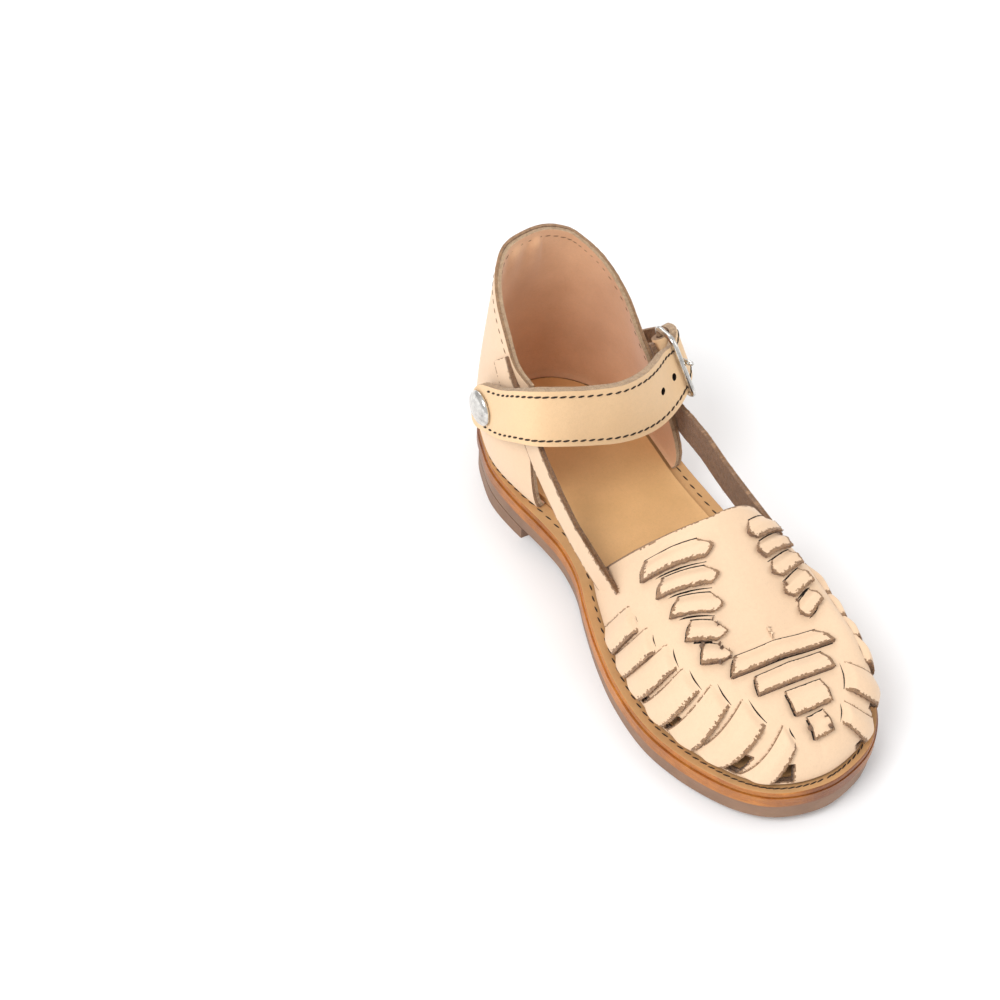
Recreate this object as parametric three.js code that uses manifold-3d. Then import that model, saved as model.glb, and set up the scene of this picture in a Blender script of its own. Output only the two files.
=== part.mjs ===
// Left huarache sandal for a child: woven vamp, a strip along each side, high back, ankle strap.
// Millimetres, +Z up, toe toward -Y, buckle side (lateral) at +X, standing on the floor at z = 0.
import * as THREE from 'three';
import { mergeVertices } from 'three/addons/utils/BufferGeometryUtils.js';
import Module from 'manifold-3d';

// Driving sizes of the last and the sole
const SOLE_LENGTH = 175;
const BALL_WIDTH = 67;
const SEAT_HEIGHT = 16.5;
const FOREPART_HEIGHT = 11;
const TOE_SPRING = 3.4;
const INSTEP_HEIGHT = 37.4;
const BACK_HEIGHT = 66.8;

// Layers of the sole, from the floor up
const LIFT_LENGTH = 47.5;
const MIDSOLE_THICK = 3.2;
const WELT_THICK = 1.8;
const INSOLE_THICK = 3.4;
const OUTSOLE_THICK = 5.4;
const SEAM_GAP = 0.3;
const EDGE_ROUND = 0.5;
const OUTSOLE_ROUND = 0.8;
const TREAD_INSET = 1.28;
const TREAD_CORNER = 0.32;

// Leather of the upper
const WALL = 2.2;
const PAD_LIFT = 0.9;
const STRIP_WALL = 1.9;
const STRIP_PROUD = 0.9;
const SIDE_STRIP_WIDTH = 10;
const HEEL_BULGE = 3;

// Ankle strap and its fittings
const STRAP_THICK = 2.4;
const SNAP_DIAMETER = 11;
const SNAP_DOME = 2.4;
const SNAP_POST = 4;
const HOLE_DIAMETER = 2.4;
const BUCKLE_WIRE = 1.8;
const BUCKLE_SPAN = 19.5;
const BUCKLE_REACH = 11;
const BUCKLE_CORNER = 2.6;
const PRONG_DIAMETER = 1.6;
const PRONG_PAST = 1.8;
const SLEEVE_WALL = 0.9;
const SLEEVE_WIDTH = 3;
const TAB_WIDTH = 13;
const TAB_THICK = 1.5;

// Fineness of the faceted surfaces
const SOLE_STEPS = 30;
const RIB_STEPS = 22;
const RIB_LEVELS = 8;
const BACK_STEPS = 26;
const BACK_LEVELS = 6;
const STRIP_STEPS = 14;
const CHEVRON_STEPS = 2;
const BAND_STEPS = 5;
const FAN_STEPS = 4;
const GAP_STEPS = 3;
const STRAP_STEPS = 44;
const TAB_STEPS = 14;
const CORNER_STEPS = 4;
const ROD_SIDES = 12;
const WIRE_SIDES = 10;
const SLEEVE_SIDES = 20;
const SNAP_SIDES = 24;

const COLOUR = {
  outsole: 0x9c7b60,
  midsole: 0xc8772f,
  welt: 0xd2ac78,
  insole: 0xdcb27e,
  upper: 0xf2d7b2,
  strap: 0xf3d3a4,
  metal: 0xc9ccd0,
};

// Half widths of the sole as shares of the ball width, u as a share of the length from the heel
const OUTLINE = [
  { u: 0.0, medial: 0.0, lateral: 0.0 },
  { u: 0.01, medial: 0.125, lateral: 0.14 },
  { u: 0.03, medial: 0.212, lateral: 0.222 },
  { u: 0.07, medial: 0.307, lateral: 0.31 },
  { u: 0.12, medial: 0.357, lateral: 0.366 },
  { u: 0.18, medial: 0.391, lateral: 0.403 },
  { u: 0.25, medial: 0.38, lateral: 0.419 },
  { u: 0.33, medial: 0.341, lateral: 0.427 },
  { u: 0.38, medial: 0.326, lateral: 0.438 },
  { u: 0.44, medial: 0.342, lateral: 0.453 },
  { u: 0.5, medial: 0.392, lateral: 0.47 },
  { u: 0.58, medial: 0.452, lateral: 0.491 },
  { u: 0.66, medial: 0.493, lateral: 0.5 },
  { u: 0.76, medial: 0.5, lateral: 0.492 },
  { u: 0.83, medial: 0.462, lateral: 0.48 },
  { u: 0.89, medial: 0.402, lateral: 0.436 },
  { u: 0.94, medial: 0.327, lateral: 0.348 },
  { u: 0.975, medial: 0.234, lateral: 0.234 },
  { u: 0.993, medial: 0.13, lateral: 0.115 },
  { u: 1.0, medial: 0.0, lateral: 0.0 },
];

// Width of the welt that shows round the upper, as a share of the ball width
const WELT_SHOW = [
  { u: 0.0, show: 0.03 },
  { u: 0.15, show: 0.033 },
  { u: 0.35, show: 0.063 },
  { u: 0.5, show: 0.06 },
  { u: 0.8, show: 0.054 },
  { u: 1.0, show: 0.045 },
];

// Ribs of the vamp from its rear edge (s = 0) to the toe (s = 1): where the ridge lies, how
// full the section is on each side, how far the wall swells past its foot, and how far its
// rear edge bows toward the toe
const VAMP = [
  { s: 0.0, u: 0.583, ridge: 0.075, height: 1.015, full: 1.55, fullOut: 2.05,
    swell: 0.03, swellOut: 0.03, bow: 0.1, bowOut: 0.09 },
  { s: 0.25, u: 0.637, ridge: 0.076, height: 0.885, full: 1.6, fullOut: 2.01,
    swell: 0.024, swellOut: 0.055, bow: 0.045, bowOut: 0.05 },
  { s: 0.5, u: 0.685, ridge: 0.078, height: 0.757, full: 1.7, fullOut: 1.98,
    swell: 0.02, swellOut: 0.07, bow: 0.015, bowOut: 0.02 },
  { s: 0.75, u: 0.727, ridge: 0.079, height: 0.645, full: 1.8, fullOut: 1.94,
    swell: 0.014, swellOut: 0.055, bow: 0, bowOut: 0 },
  { s: 1.0, u: 0.768, ridge: 0.081, height: 0.55, full: 1.9, fullOut: 1.9,
    swell: 0.003, swellOut: 0.003, bow: 0, bowOut: 0 },
];
const VAMP_REAR = { medial: 0.451, lateral: 0.505 };

// Raised blocks on top of the vamp, corners as (across, along): across is a share of the ball
// width from the middle line, along is u. Each row is one block from its outer to its inner end
const CHEVRONS_MEDIAL = [
  { outer: [[-0.201, 0.549], [-0.229, 0.565], [-0.253, 0.581]],
    inner: [[-0.025, 0.589], [0.009, 0.617], [-0.04, 0.627]] },
  { outer: [[-0.207, 0.599], [-0.234, 0.614], [-0.257, 0.628]],
    inner: [[-0.056, 0.632], [-0.021, 0.658], [-0.066, 0.666]] },
  { outer: [[-0.203, 0.646], [-0.234, 0.659], [-0.262, 0.672]],
    inner: [[-0.083, 0.672], [-0.055, 0.699], [-0.105, 0.704]] },
  { outer: [[-0.208, 0.691], [-0.234, 0.706], [-0.259, 0.72]],
    inner: [[-0.124, 0.71], [-0.09, 0.737], [-0.148, 0.742]] },
  { outer: [[-0.205, 0.734], [-0.228, 0.749], [-0.25, 0.764]],
    inner: [[-0.154, 0.746], [-0.118, 0.77], [-0.168, 0.776]] },
];
const CHEVRONS_LATERAL = [
  { outer: [[0.345, 0.571], [0.355, 0.591], [0.36, 0.611]],
    inner: [[0.215, 0.595], [0.18, 0.62], [0.208, 0.633]] },
  { outer: [[0.35, 0.61], [0.358, 0.628], [0.362, 0.645]],
    inner: [[0.22, 0.632], [0.185, 0.65], [0.214, 0.664]] },
  { outer: [[0.35, 0.647], [0.36, 0.663], [0.365, 0.679]],
    inner: [[0.24, 0.664], [0.205, 0.686], [0.238, 0.698]] },
  { outer: [[0.345, 0.683], [0.357, 0.698], [0.362, 0.715]],
    inner: [[0.25, 0.7], [0.215, 0.72], [0.25, 0.732]] },
  { outer: [[0.338, 0.722], [0.346, 0.736], [0.35, 0.75]],
    inner: [[0.265, 0.736], [0.232, 0.756], [0.266, 0.768]] },
];
const CROSS_BANDS = [
  { outer: [[-0.117, 0.776], [-0.15, 0.792], [-0.178, 0.808]],
    inner: [[0.256, 0.79], [0.272, 0.807], [0.284, 0.823]] },
  { outer: [[-0.095, 0.824], [-0.112, 0.838], [-0.124, 0.854]],
    inner: [[0.213, 0.831], [0.216, 0.847], [0.214, 0.863]] },
  { outer: [[-0.022, 0.868], [-0.032, 0.887], [-0.038, 0.906]],
    inner: [[0.139, 0.873], [0.133, 0.891], [0.124, 0.909]] },
  { outer: [[0.005, 0.916], [-0.002, 0.931], [-0.01, 0.945]],
    inner: [[0.08, 0.916], [0.078, 0.931], [0.075, 0.945]] },
];

// Fan strips from the welt up to the panel: s of the rear and front edge at the foot, s of both
// at the head, and v of both at the head
const FAN = {
  medial: [
    { foot: [0.125, 0.185], head: [0.135, 0.19], rise: [0.35, 0.34] },
    { foot: [0.195, 0.256], head: [0.226, 0.279], rise: [0.41, 0.37] },
    { foot: [0.25, 0.315], head: [0.315, 0.366], rise: [0.466, 0.417] },
    { foot: [0.335, 0.405], head: [0.406, 0.47], rise: [0.461, 0.419] },
    { foot: [0.43, 0.512], head: [0.525, 0.59], rise: [0.507, 0.448] },
    { foot: [0.515, 0.6], head: [0.665, 0.758], rise: [0.54, 0.448] },
    { foot: [0.665, 0.785], head: [0.87, 0.886], rise: [0.485, 0.361] },
  ],
  lateral: [
    { foot: [0.17, 0.25], head: [0.19, 0.275], rise: [0.41, 0.41] },
    { foot: [0.255, 0.335], head: [0.271, 0.345], rise: [0.41, 0.39] },
    { foot: [0.34, 0.42], head: [0.349, 0.43], rise: [0.39, 0.4] },
    { foot: [0.425, 0.49], head: [0.443, 0.53], rise: [0.423, 0.384] },
    { foot: [0.5, 0.6], head: [0.65, 0.741], rise: [0.576, 0.496] },
    { foot: [0.66, 0.77], head: [0.813, 0.844], rise: [0.486, 0.376] },
  ],
};
const FAN_START = 0.034;

// Open gaps between the fan strips: s at the foot and at the head, width there, height span
const GAPS = {
  medial: [
    { foot: 0.325, head: 0.381, footWide: 0.022, headWide: 0.03, low: 0.085, high: 0.378 },
    { foot: 0.42, head: 0.491, footWide: 0.032, headWide: 0.05, low: 0.085, high: 0.41 },
    { foot: 0.632, head: 0.8, footWide: 0.07, headWide: 0.11, low: 0.08, high: 0.44 },
    { foot: 0.835, head: 0.892, footWide: 0.1, headWide: 0.02, low: 0.08, high: 0.35 },
  ],
  lateral: [
    { foot: 0.255, head: 0.28, footWide: 0.02, headWide: 0.016, low: 0.08, high: 0.4 },
    { foot: 0.34, head: 0.36, footWide: 0.02, headWide: 0.016, low: 0.08, high: 0.4 },
    { foot: 0.495, head: 0.582, footWide: 0.026, headWide: 0.085, low: 0.085, high: 0.447 },
    { foot: 0.63, head: 0.77, footWide: 0.06, headWide: 0.08, low: 0.08, high: 0.45 },
    { foot: 0.81, head: 0.847, footWide: 0.07, headWide: 0.015, low: 0.08, high: 0.32 },
  ],
};

// The high back, from its medial front edge round the heel to the lateral one: u of the foot,
// and the rim as across (share of ball width), u, and height above the seat (share of the back)
const BACK = [
  { side: -1, foot: 0.297, across: -0.336, u: 0.255, rise: 0.66 },
  { side: -1, foot: 0.235, across: -0.355, u: 0.215, rise: 0.705 },
  { side: -1, foot: 0.17, across: -0.343, u: 0.172, rise: 0.79 },
  { side: -1, foot: 0.105, across: -0.31, u: 0.119, rise: 0.868 },
  { side: -1, foot: 0.05, across: -0.255, u: 0.077, rise: 0.936 },
  { side: -1, foot: 0.015, across: -0.16, u: 0.045, rise: 0.985 },
  { side: 1, foot: 0.0, across: 0.01, u: 0.037, rise: 1.0 },
  { side: 1, foot: 0.015, across: 0.134, u: 0.049, rise: 0.972 },
  { side: 1, foot: 0.05, across: 0.205, u: 0.071, rise: 0.921 },
  { side: 1, foot: 0.105, across: 0.262, u: 0.109, rise: 0.853 },
  { side: 1, foot: 0.17, across: 0.31, u: 0.154, rise: 0.726 },
  { side: 1, foot: 0.235, across: 0.332, u: 0.2, rise: 0.57 },
  { side: 1, foot: 0.315, across: 0.354, u: 0.25, rise: 0.42 },
];

// Middle lines of the side strips: first a place on the vamp, then free places (across and u
// as above, rise above the forepart as a share of the instep height), then places on the back
const SIDE_STRIPS = {
  medial: [
    { s: 0.08, v: 0.2 },
    { across: -0.305, u: 0.44, rise: 0.3 },
    { across: -0.33, u: 0.38, rise: 0.5 },
    { across: -0.35, u: 0.302, rise: 0.81 },
    { place: 0.02, level: 0.76 },
    { place: 0.09, level: 0.82 },
    { place: 0.155, level: 0.86 },
  ],
  lateral: [
    { s: 0.1, v: 0.38 },
    { across: 0.402, u: 0.445, rise: 0.51 },
    { across: 0.406, u: 0.37, rise: 0.55 },
    { across: 0.408, u: 0.3, rise: 0.55 },
    { place: 0.985, level: 0.72 },
    { place: 0.94, level: 0.78 },
    { place: 0.9, level: 0.82 },
  ],
};

// Lower and upper edge of the ankle strap's outer face, from its snap end round the instep, the
// buckle and on along the lateral side: across, u, and rise above the forepart as a share of
// the instep height. The leather tab of the buckle lies under the same face
const STRAP = [
  { low: [-0.446, 0.134, 0.508], high: [-0.437, 0.131, 0.976] },
  { low: [-0.446, 0.175, 0.623], high: [-0.437, 0.178, 1.115] },
  { low: [-0.446, 0.231, 0.759], high: [-0.437, 0.228, 1.27] },
  { low: [-0.437, 0.281, 0.92], high: [-0.428, 0.27, 1.425] },
  { low: [-0.391, 0.322, 1.013], high: [-0.384, 0.306, 1.529] },
  { low: [-0.282, 0.339, 0.992], high: [-0.275, 0.322, 1.511] },
  { low: [-0.142, 0.343, 0.904], high: [-0.134, 0.326, 1.43] },
  { low: [0, 0.347, 0.834], high: [0.015, 0.326, 1.358] },
  { low: [0.134, 0.343, 0.789], high: [0.142, 0.313, 1.31] },
  { low: [0.254, 0.331, 0.775], high: [0.239, 0.293, 1.278] },
  { low: [0.372, 0.308, 0.785], high: [0.331, 0.264, 1.218] },
  { low: [0.457, 0.284, 0.838], high: [0.416, 0.243, 1.164] },
  { low: [0.512, 0.253, 0.843], high: [0.478, 0.213, 1.169] },
  { low: [0.527, 0.216, 0.749], high: [0.497, 0.178, 1.078] },
  { low: [0.518, 0.182, 0.616], high: [0.491, 0.145, 0.944] },
  { low: [0.482, 0.151, 0.495], high: [0.461, 0.117, 0.824] },
];
const STRAP_FROM = 0.01;
const SNAP_AT = 0.063;
const HOLES_AT = [0.612, 0.675];
const BUCKLE_AT = 0.758;
const TAIL_AT = 0.91;
const STRAP_RUN = 125;

// Rounded ends: the share of the run that rounds off, and the half width left at the very end
const STRAP_END = { share: 0.055, tip: 0.2 };
const TAB_END = { share: 0.12, tip: 0.25 };
const BAND_LINES = [-1, -0.34, 0.34, 1];

// The snap's dome from its rim to its top: shares of its radius and of its height
const DOME = [
  { radius: 1, rise: 0.35 },
  { radius: 0.8, rise: 0.78 },
  { radius: 0.45, rise: 0.97 },
  { radius: 0, rise: 1 },
];

// Smooth interpolation of one column of a table over another
function column(table, key, name, at) {
  const keys = table.map((row) => row[key]);
  const values = table.map((row) => row[name]);
  const last = keys.length - 1;
  const x = Math.min(Math.max(at, keys[0]), keys[last]);
  let i = 0;
  while (i < last - 1 && x > keys[i + 1]) i += 1;
  const slope = (a) => (values[a + 1] - values[a]) / (keys[a + 1] - keys[a]);
  const tangent = (a) => {
    if (a === 0) return slope(0);
    if (a === last) return slope(last - 1);
    return (slope(a - 1) + slope(a)) / 2;
  };
  const width = keys[i + 1] - keys[i];
  const t = (x - keys[i]) / width;
  const rise = t * t * (3 - 2 * t);
  return (
    values[i] * (1 - rise) + values[i + 1] * rise +
    width * t * (1 - t) * ((1 - t) * tangent(i) - t * tangent(i + 1))
  );
}

// Smooth curve through rows of equal spacing; place runs from 0 to 1
function along(rows, pick, place) {
  const table = rows.map((row, i) => ({ at: i / (rows.length - 1), value: pick(row) }));
  return column(table, 'at', 'value', place);
}

const angleOf = (u) => Math.acos(1 - 2 * u);
const shareOf = (angle) => (1 - Math.cos(angle)) / 2;
const lengthwise = (u) => SOLE_LENGTH / 2 - u * SOLE_LENGTH;
const shareAt = (y) => 0.5 - y / SOLE_LENGTH;
const OUTLINE_BY_ANGLE = OUTLINE.map((row) => ({ ...row, angle: angleOf(row.u) }));

function edgePoint(side, angle) {
  const name = side < 0 ? 'medial' : 'lateral';
  const half = BALL_WIDTH * column(OUTLINE_BY_ANGLE, 'angle', name, angle);
  return new THREE.Vector2(side * half, lengthwise(shareOf(angle)));
}

// A point of the sole's outline moved inward, square to the edge
function insetPoint(side, angle, inset) {
  const step = 0.002;
  const from = edgePoint(side, Math.max(angle - step, 0));
  const to = edgePoint(side, Math.min(angle + step, Math.PI));
  const ahead = to.sub(from).normalize();
  const inward = new THREE.Vector2(side * ahead.y, -side * ahead.x);
  if (angle === 0) inward.set(0, -1);
  if (angle === Math.PI) inward.set(0, 1);
  return edgePoint(side, angle).addScaledVector(inward, inset);
}

const WELT_REACH = { start: 0.15, span: 0.45, spring: 0.7 };
function weltTop(y) {
  const u = shareAt(y);
  const t = Math.min(Math.max((u - WELT_REACH.start) / WELT_REACH.span, 0), 1);
  const drop = (SEAT_HEIGHT - FOREPART_HEIGHT) * (1 - t * t * (3 - 2 * t));
  const toe = Math.min(Math.max(u - WELT_REACH.spring, 0), 1 - WELT_REACH.spring) / (1 - WELT_REACH.spring);
  return FOREPART_HEIGHT + drop + TOE_SPRING * toe * toe;
}
const weltShow = (u) => BALL_WIDTH * column(WELT_SHOW, 'u', 'show', u);

// Closed meshes from lists of corners and faces
function geometryOf(points, faces) {
  const geometry = new THREE.BufferGeometry();
  const flat = points.flatMap((p) => [p.x, p.y, p.z]);
  geometry.setAttribute('position', new THREE.Float32BufferAttribute(flat, 3));
  geometry.setIndex(faces.flat());
  return geometry;
}

const wasm = await Module();
wasm.setup();

function solidOf(geometry) {
  const bare = geometry.clone();
  bare.deleteAttribute('normal');
  bare.deleteAttribute('uv');
  const merged = mergeVertices(bare, 1e-4);
  const vertProperties = new Float32Array(merged.attributes.position.array);
  const triVerts = new Uint32Array(merged.index.array);
  return new wasm.Manifold(new wasm.Mesh({ numProp: 3, vertProperties, triVerts }));
}

function geometryFrom(solid) {
  const mesh = solid.getMesh();
  const geometry = new THREE.BufferGeometry();
  geometry.setAttribute('position', new THREE.BufferAttribute(new Float32Array(mesh.vertProperties), 3));
  geometry.setIndex(new THREE.BufferAttribute(new Uint32Array(mesh.triVerts), 1));
  return geometry;
}

// A slab between two grids of points of equal size, closed round its border
function slab(outer, inner) {
  const rows = outer.length;
  const cols = outer[0].length;
  const points = [...outer.flat(), ...inner.flat()];
  const half = rows * cols;
  const at = (i, j, layer) => layer * half + i * cols + j;
  const faces = [];
  const quad = (a, b, c, d) => {
    const short = points[a].distanceTo(points[c]) <= points[b].distanceTo(points[d]);
    if (short) faces.push([a, b, c], [a, c, d]);
    else faces.push([a, b, d], [b, c, d]);
  };
  for (let i = 0; i < rows - 1; i += 1) {
    for (let j = 0; j < cols - 1; j += 1) {
      quad(at(i, j, 0), at(i + 1, j, 0), at(i + 1, j + 1, 0), at(i, j + 1, 0));
      quad(at(i, j, 1), at(i, j + 1, 1), at(i + 1, j + 1, 1), at(i + 1, j, 1));
    }
  }
  for (let i = 0; i < rows - 1; i += 1) {
    quad(at(i, 0, 0), at(i, 0, 1), at(i + 1, 0, 1), at(i + 1, 0, 0));
    quad(at(i, cols - 1, 0), at(i + 1, cols - 1, 0), at(i + 1, cols - 1, 1), at(i, cols - 1, 1));
  }
  for (let j = 0; j < cols - 1; j += 1) {
    quad(at(0, j, 0), at(0, j + 1, 0), at(0, j + 1, 1), at(0, j, 1));
    quad(at(rows - 1, j, 0), at(rows - 1, j, 1), at(rows - 1, j + 1, 1), at(rows - 1, j + 1, 0));
  }
  return outward(geometryOf(points, faces));
}

// Turns a closed mesh inside out when its volume comes out negative
function outward(geometry) {
  const p = geometry.attributes.position;
  const index = geometry.index.array;
  const corner = (i) => new THREE.Vector3().fromBufferAttribute(p, index[i]);
  let volume = 0;
  for (let i = 0; i < index.length; i += 3) volume += corner(i).dot(corner(i + 1).cross(corner(i + 2)));
  if (volume < 0) {
    for (let i = 0; i < index.length; i += 3) [index[i + 1], index[i + 2]] = [index[i + 2], index[i + 1]];
  }
  return geometry;
}

const sequence = (count) => Array.from({ length: count + 1 }, (_, i) => i / count);

// A plate of the sole: rings of one inset and height each, stacked upward, capped in rows
function plate(rings, from = 0, to = Math.PI) {
  const steps = sequence(SOLE_STEPS).map((t) => from + (to - from) * t);
  const row = (side, ring) => steps.map((angle) => {
    const p = insetPoint(side, angle, ring.inset(shareOf(angle)));
    return new THREE.Vector3(p.x, p.y, ring.z(p.y));
  });
  const layers = rings.map((ring) => [row(-1, ring), row(1, ring)]);
  const points = [];
  const faces = [];
  const add = (p) => points.push(p) - 1;
  const ids = layers.map(([medial, lateral]) => [medial.map(add), lateral.map(add)]);
  const quad = (a, b, c, d) => faces.push([a, b, c], [a, c, d]);
  for (let i = 0; i < SOLE_STEPS; i += 1) {
    const [low, high] = [ids[0], ids[ids.length - 1]];
    quad(low[0][i], low[0][i + 1], low[1][i + 1], low[1][i]);
    quad(high[0][i], high[1][i], high[1][i + 1], high[0][i + 1]);
    for (let k = 0; k < ids.length - 1; k += 1) {
      quad(ids[k][0][i], ids[k + 1][0][i], ids[k + 1][0][i + 1], ids[k][0][i + 1]);
      quad(ids[k][1][i], ids[k][1][i + 1], ids[k + 1][1][i + 1], ids[k + 1][1][i]);
    }
  }
  for (const i of [0, SOLE_STEPS]) {
    for (let k = 0; k < ids.length - 1; k += 1) {
      const turn = i === 0 ? 1 : -1;
      const [a, b, c, d] = [ids[k][0][i], ids[k][1][i], ids[k + 1][1][i], ids[k + 1][0][i]];
      if (turn > 0) quad(a, b, c, d);
      else quad(a, d, c, b);
    }
  }
  return outward(geometryOf(points, faces));
}

const still = (value) => () => value;
const below = (depth) => (y) => weltTop(y) - depth;
const floorOf = WELT_THICK + SEAM_GAP + MIDSOLE_THICK + SEAM_GAP;

function outsoleGeometry() {
  const underside = (y) => weltTop(y) - floorOf - OUTSOLE_THICK;
  return plate([
    { inset: still(TREAD_INSET), z: underside },
    { inset: still(TREAD_CORNER), z: (y) => underside(y) + OUTSOLE_ROUND },
    { inset: still(0), z: below(floorOf + OUTSOLE_THICK / 3) },
    { inset: still(EDGE_ROUND), z: below(floorOf) },
  ]);
}

function liftGeometry() {
  const top = (y) => weltTop(y) - floorOf - OUTSOLE_THICK - SEAM_GAP;
  const breast = angleOf(LIFT_LENGTH / SOLE_LENGTH);
  return plate([
    { inset: still(OUTSOLE_ROUND), z: still(0) },
    { inset: still(OUTSOLE_ROUND), z: top },
  ], 0, breast);
}

function midsoleGeometry() {
  return plate([
    { inset: still(EDGE_ROUND), z: below(floorOf - SEAM_GAP) },
    { inset: still(0), z: below(floorOf - SEAM_GAP - MIDSOLE_THICK / 2) },
    { inset: still(EDGE_ROUND / 2), z: below(WELT_THICK + SEAM_GAP) },
  ]);
}

function weltGeometry() {
  const rim = plate([
    { inset: still(EDGE_ROUND / 2), z: below(WELT_THICK) },
    { inset: still(EDGE_ROUND), z: below(0) },
  ]);
  const reach = (u) => weltShow(u) + WALL;
  const hole = plate([
    { inset: reach, z: below(WELT_THICK * 2) },
    { inset: reach, z: below(-WELT_THICK) },
  ]);
  return geometryFrom(solidOf(rim).subtract(solidOf(hole)));
}

function insoleGeometry() {
  const reach = (u) => weltShow(u) + WALL + SEAM_GAP;
  const soft = (u) => reach(u) + EDGE_ROUND;
  return plate([
    { inset: reach, z: below(WELT_THICK) },
    { inset: reach, z: below(WELT_THICK - INSOLE_THICK + EDGE_ROUND) },
    { inset: soft, z: below(WELT_THICK - INSOLE_THICK) },
  ]);
}

// Over this span of v a rib takes the height of the ridge beside it, so the top stays level
const RIDGE_BLEND = { from: 0.35, span: 0.5 };

// A point of the vamp: side, s from its rear edge to the toe, v from its foot to the ridge,
// lift outward from its outer face
function vampPoint({ side, s, v }, lift) {
  const medial = side < 0;
  const start = angleOf(medial ? VAMP_REAR.medial : VAMP_REAR.lateral);
  const angle = start + (Math.PI - start) * s;
  const foot = insetPoint(side, s === 1 ? Math.PI : angle, weltShow(shareOf(angle)) - lift);
  const ridgeX = BALL_WIDTH * column(VAMP, 's', 'ridge', s);
  const top = new THREE.Vector2(ridgeX, lengthwise(column(VAMP, 's', 'u', s)));
  const ridgeAt = (key, at) => FOREPART_HEIGHT + INSTEP_HEIGHT * column(VAMP, key, 'height', at) + lift;
  const full = column(VAMP, 's', medial ? 'full' : 'fullOut', s);
  const swell = BALL_WIDTH * column(VAMP, 's', medial ? 'swell' : 'swellOut', s);
  const phi = (v * Math.PI) / 2;
  const reach = v >= 1 ? 0 : Math.cos(phi) ** (2 / full);
  const climb = Math.sin(phi) ** (2 / full);
  const out = foot.clone().sub(top).normalize();
  const place = foot.clone().lerp(top, 1 - reach).addScaledVector(out, swell * Math.sin(2 * phi));
  place.y -= BALL_WIDTH * column(VAMP, 's', medial ? 'bow' : 'bowOut', s) * Math.sin(2 * phi);
  const low = weltTop(foot.y) + SEAM_GAP;
  const near = Math.min(Math.max((v - RIDGE_BLEND.from) / RIDGE_BLEND.span, 0), 1);
  const blend = near * near * (3 - 2 * near);
  const ridgeZ = ridgeAt('s', s) * (1 - blend) + ridgeAt('u', shareAt(place.y)) * blend;
  return new THREE.Vector3(place.x, place.y, low + (ridgeZ - low) * climb);
}

// The place on the vamp that lies over a point of its plan, found by halving s and then v
const HALVINGS = 24;
const SEARCH_FROM = 0.3;
function vampOver([across, u]) {
  const target = new THREE.Vector2(across * BALL_WIDTH, lengthwise(u));
  const front = VAMP[VAMP.length - 1].u;
  const toTip = Math.min((1 - u) / (1 - front), 1);
  const ridgeX = BALL_WIDTH * column(VAMP, 'u', 'ridge', u) * toTip;
  const side = target.x < ridgeX ? -1 : 1;
  const plan = (s, v) => {
    const p = vampPoint({ side, s, v }, 0);
    return new THREE.Vector2(p.x, p.y);
  };
  const turned = (s) => {
    const top = plan(s, 1);
    return side * plan(s, SEARCH_FROM).sub(top).cross(target.clone().sub(top));
  };
  const halve = (low, high, past) => {
    let [a, b] = [low, high];
    for (let k = 0; k < HALVINGS; k += 1) {
      const middle = (a + b) / 2;
      if (past(middle)) b = middle;
      else a = middle;
    }
    return (a + b) / 2;
  };
  const s = halve(0, 1, (at) => turned(at) > 0);
  const top = plan(s, 1);
  const v = halve(SEARCH_FROM, 1, (at) => plan(s, at).distanceTo(top) < target.distanceTo(top));
  return { side, s, v };
}

function vampWall() {
  const places = [];
  for (const t of sequence(RIB_STEPS)) places.push({ side: -1, s: t });
  for (const t of sequence(RIB_STEPS).slice(1)) places.push({ side: 1, s: 1 - t });
  const sheet = (lift) => places.map((place) => (
    sequence(RIB_LEVELS).map((v) => vampPoint({ ...place, v }, lift))
  ));
  return slab(sheet(0), sheet(-WALL));
}

// A raised piece lying on the vamp between its two ends, given as rows of surface places
const PAD_SINK = WALL / 2;
const CUT_ABOVE = WALL * 1.5;
const CUT_BELOW = WALL * 2.5;
function pad(rows, lift, sink) {
  const sheet = (height) => rows.map((row) => row.map((place) => vampPoint(place, height)));
  return slab(sheet(lift), sheet(-sink));
}

function planPad({ outer, inner }, steps) {
  const rows = sequence(steps).map((t) => outer.map((from, k) => {
    const to = inner[k];
    return vampOver([from[0] + (to[0] - from[0]) * t, from[1] + (to[1] - from[1]) * t]);
  }));
  return pad(rows, PAD_LIFT, PAD_SINK);
}

function fanPad(side, { foot, head, rise }) {
  const rows = sequence(FAN_STEPS).map((t) => [0, 1].map((k) => ({
    side,
    s: foot[k] + (head[k] - foot[k]) * t,
    v: FAN_START + (rise[k] - FAN_START) * t,
  })));
  return pad(rows, PAD_LIFT, PAD_SINK);
}

function gapCutter(side, gap) {
  const rows = sequence(GAP_STEPS).map((t) => {
    const v = gap.low + (gap.high - gap.low) * t;
    const s = gap.foot + (gap.head - gap.foot) * t;
    const wide = gap.footWide + (gap.headWide - gap.footWide) * t;
    return [-0.5, 0.5].map((k) => ({ side, s: Math.min(s + k * wide, 1), v }));
  });
  return pad(rows, CUT_ABOVE, CUT_BELOW);
}

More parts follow.
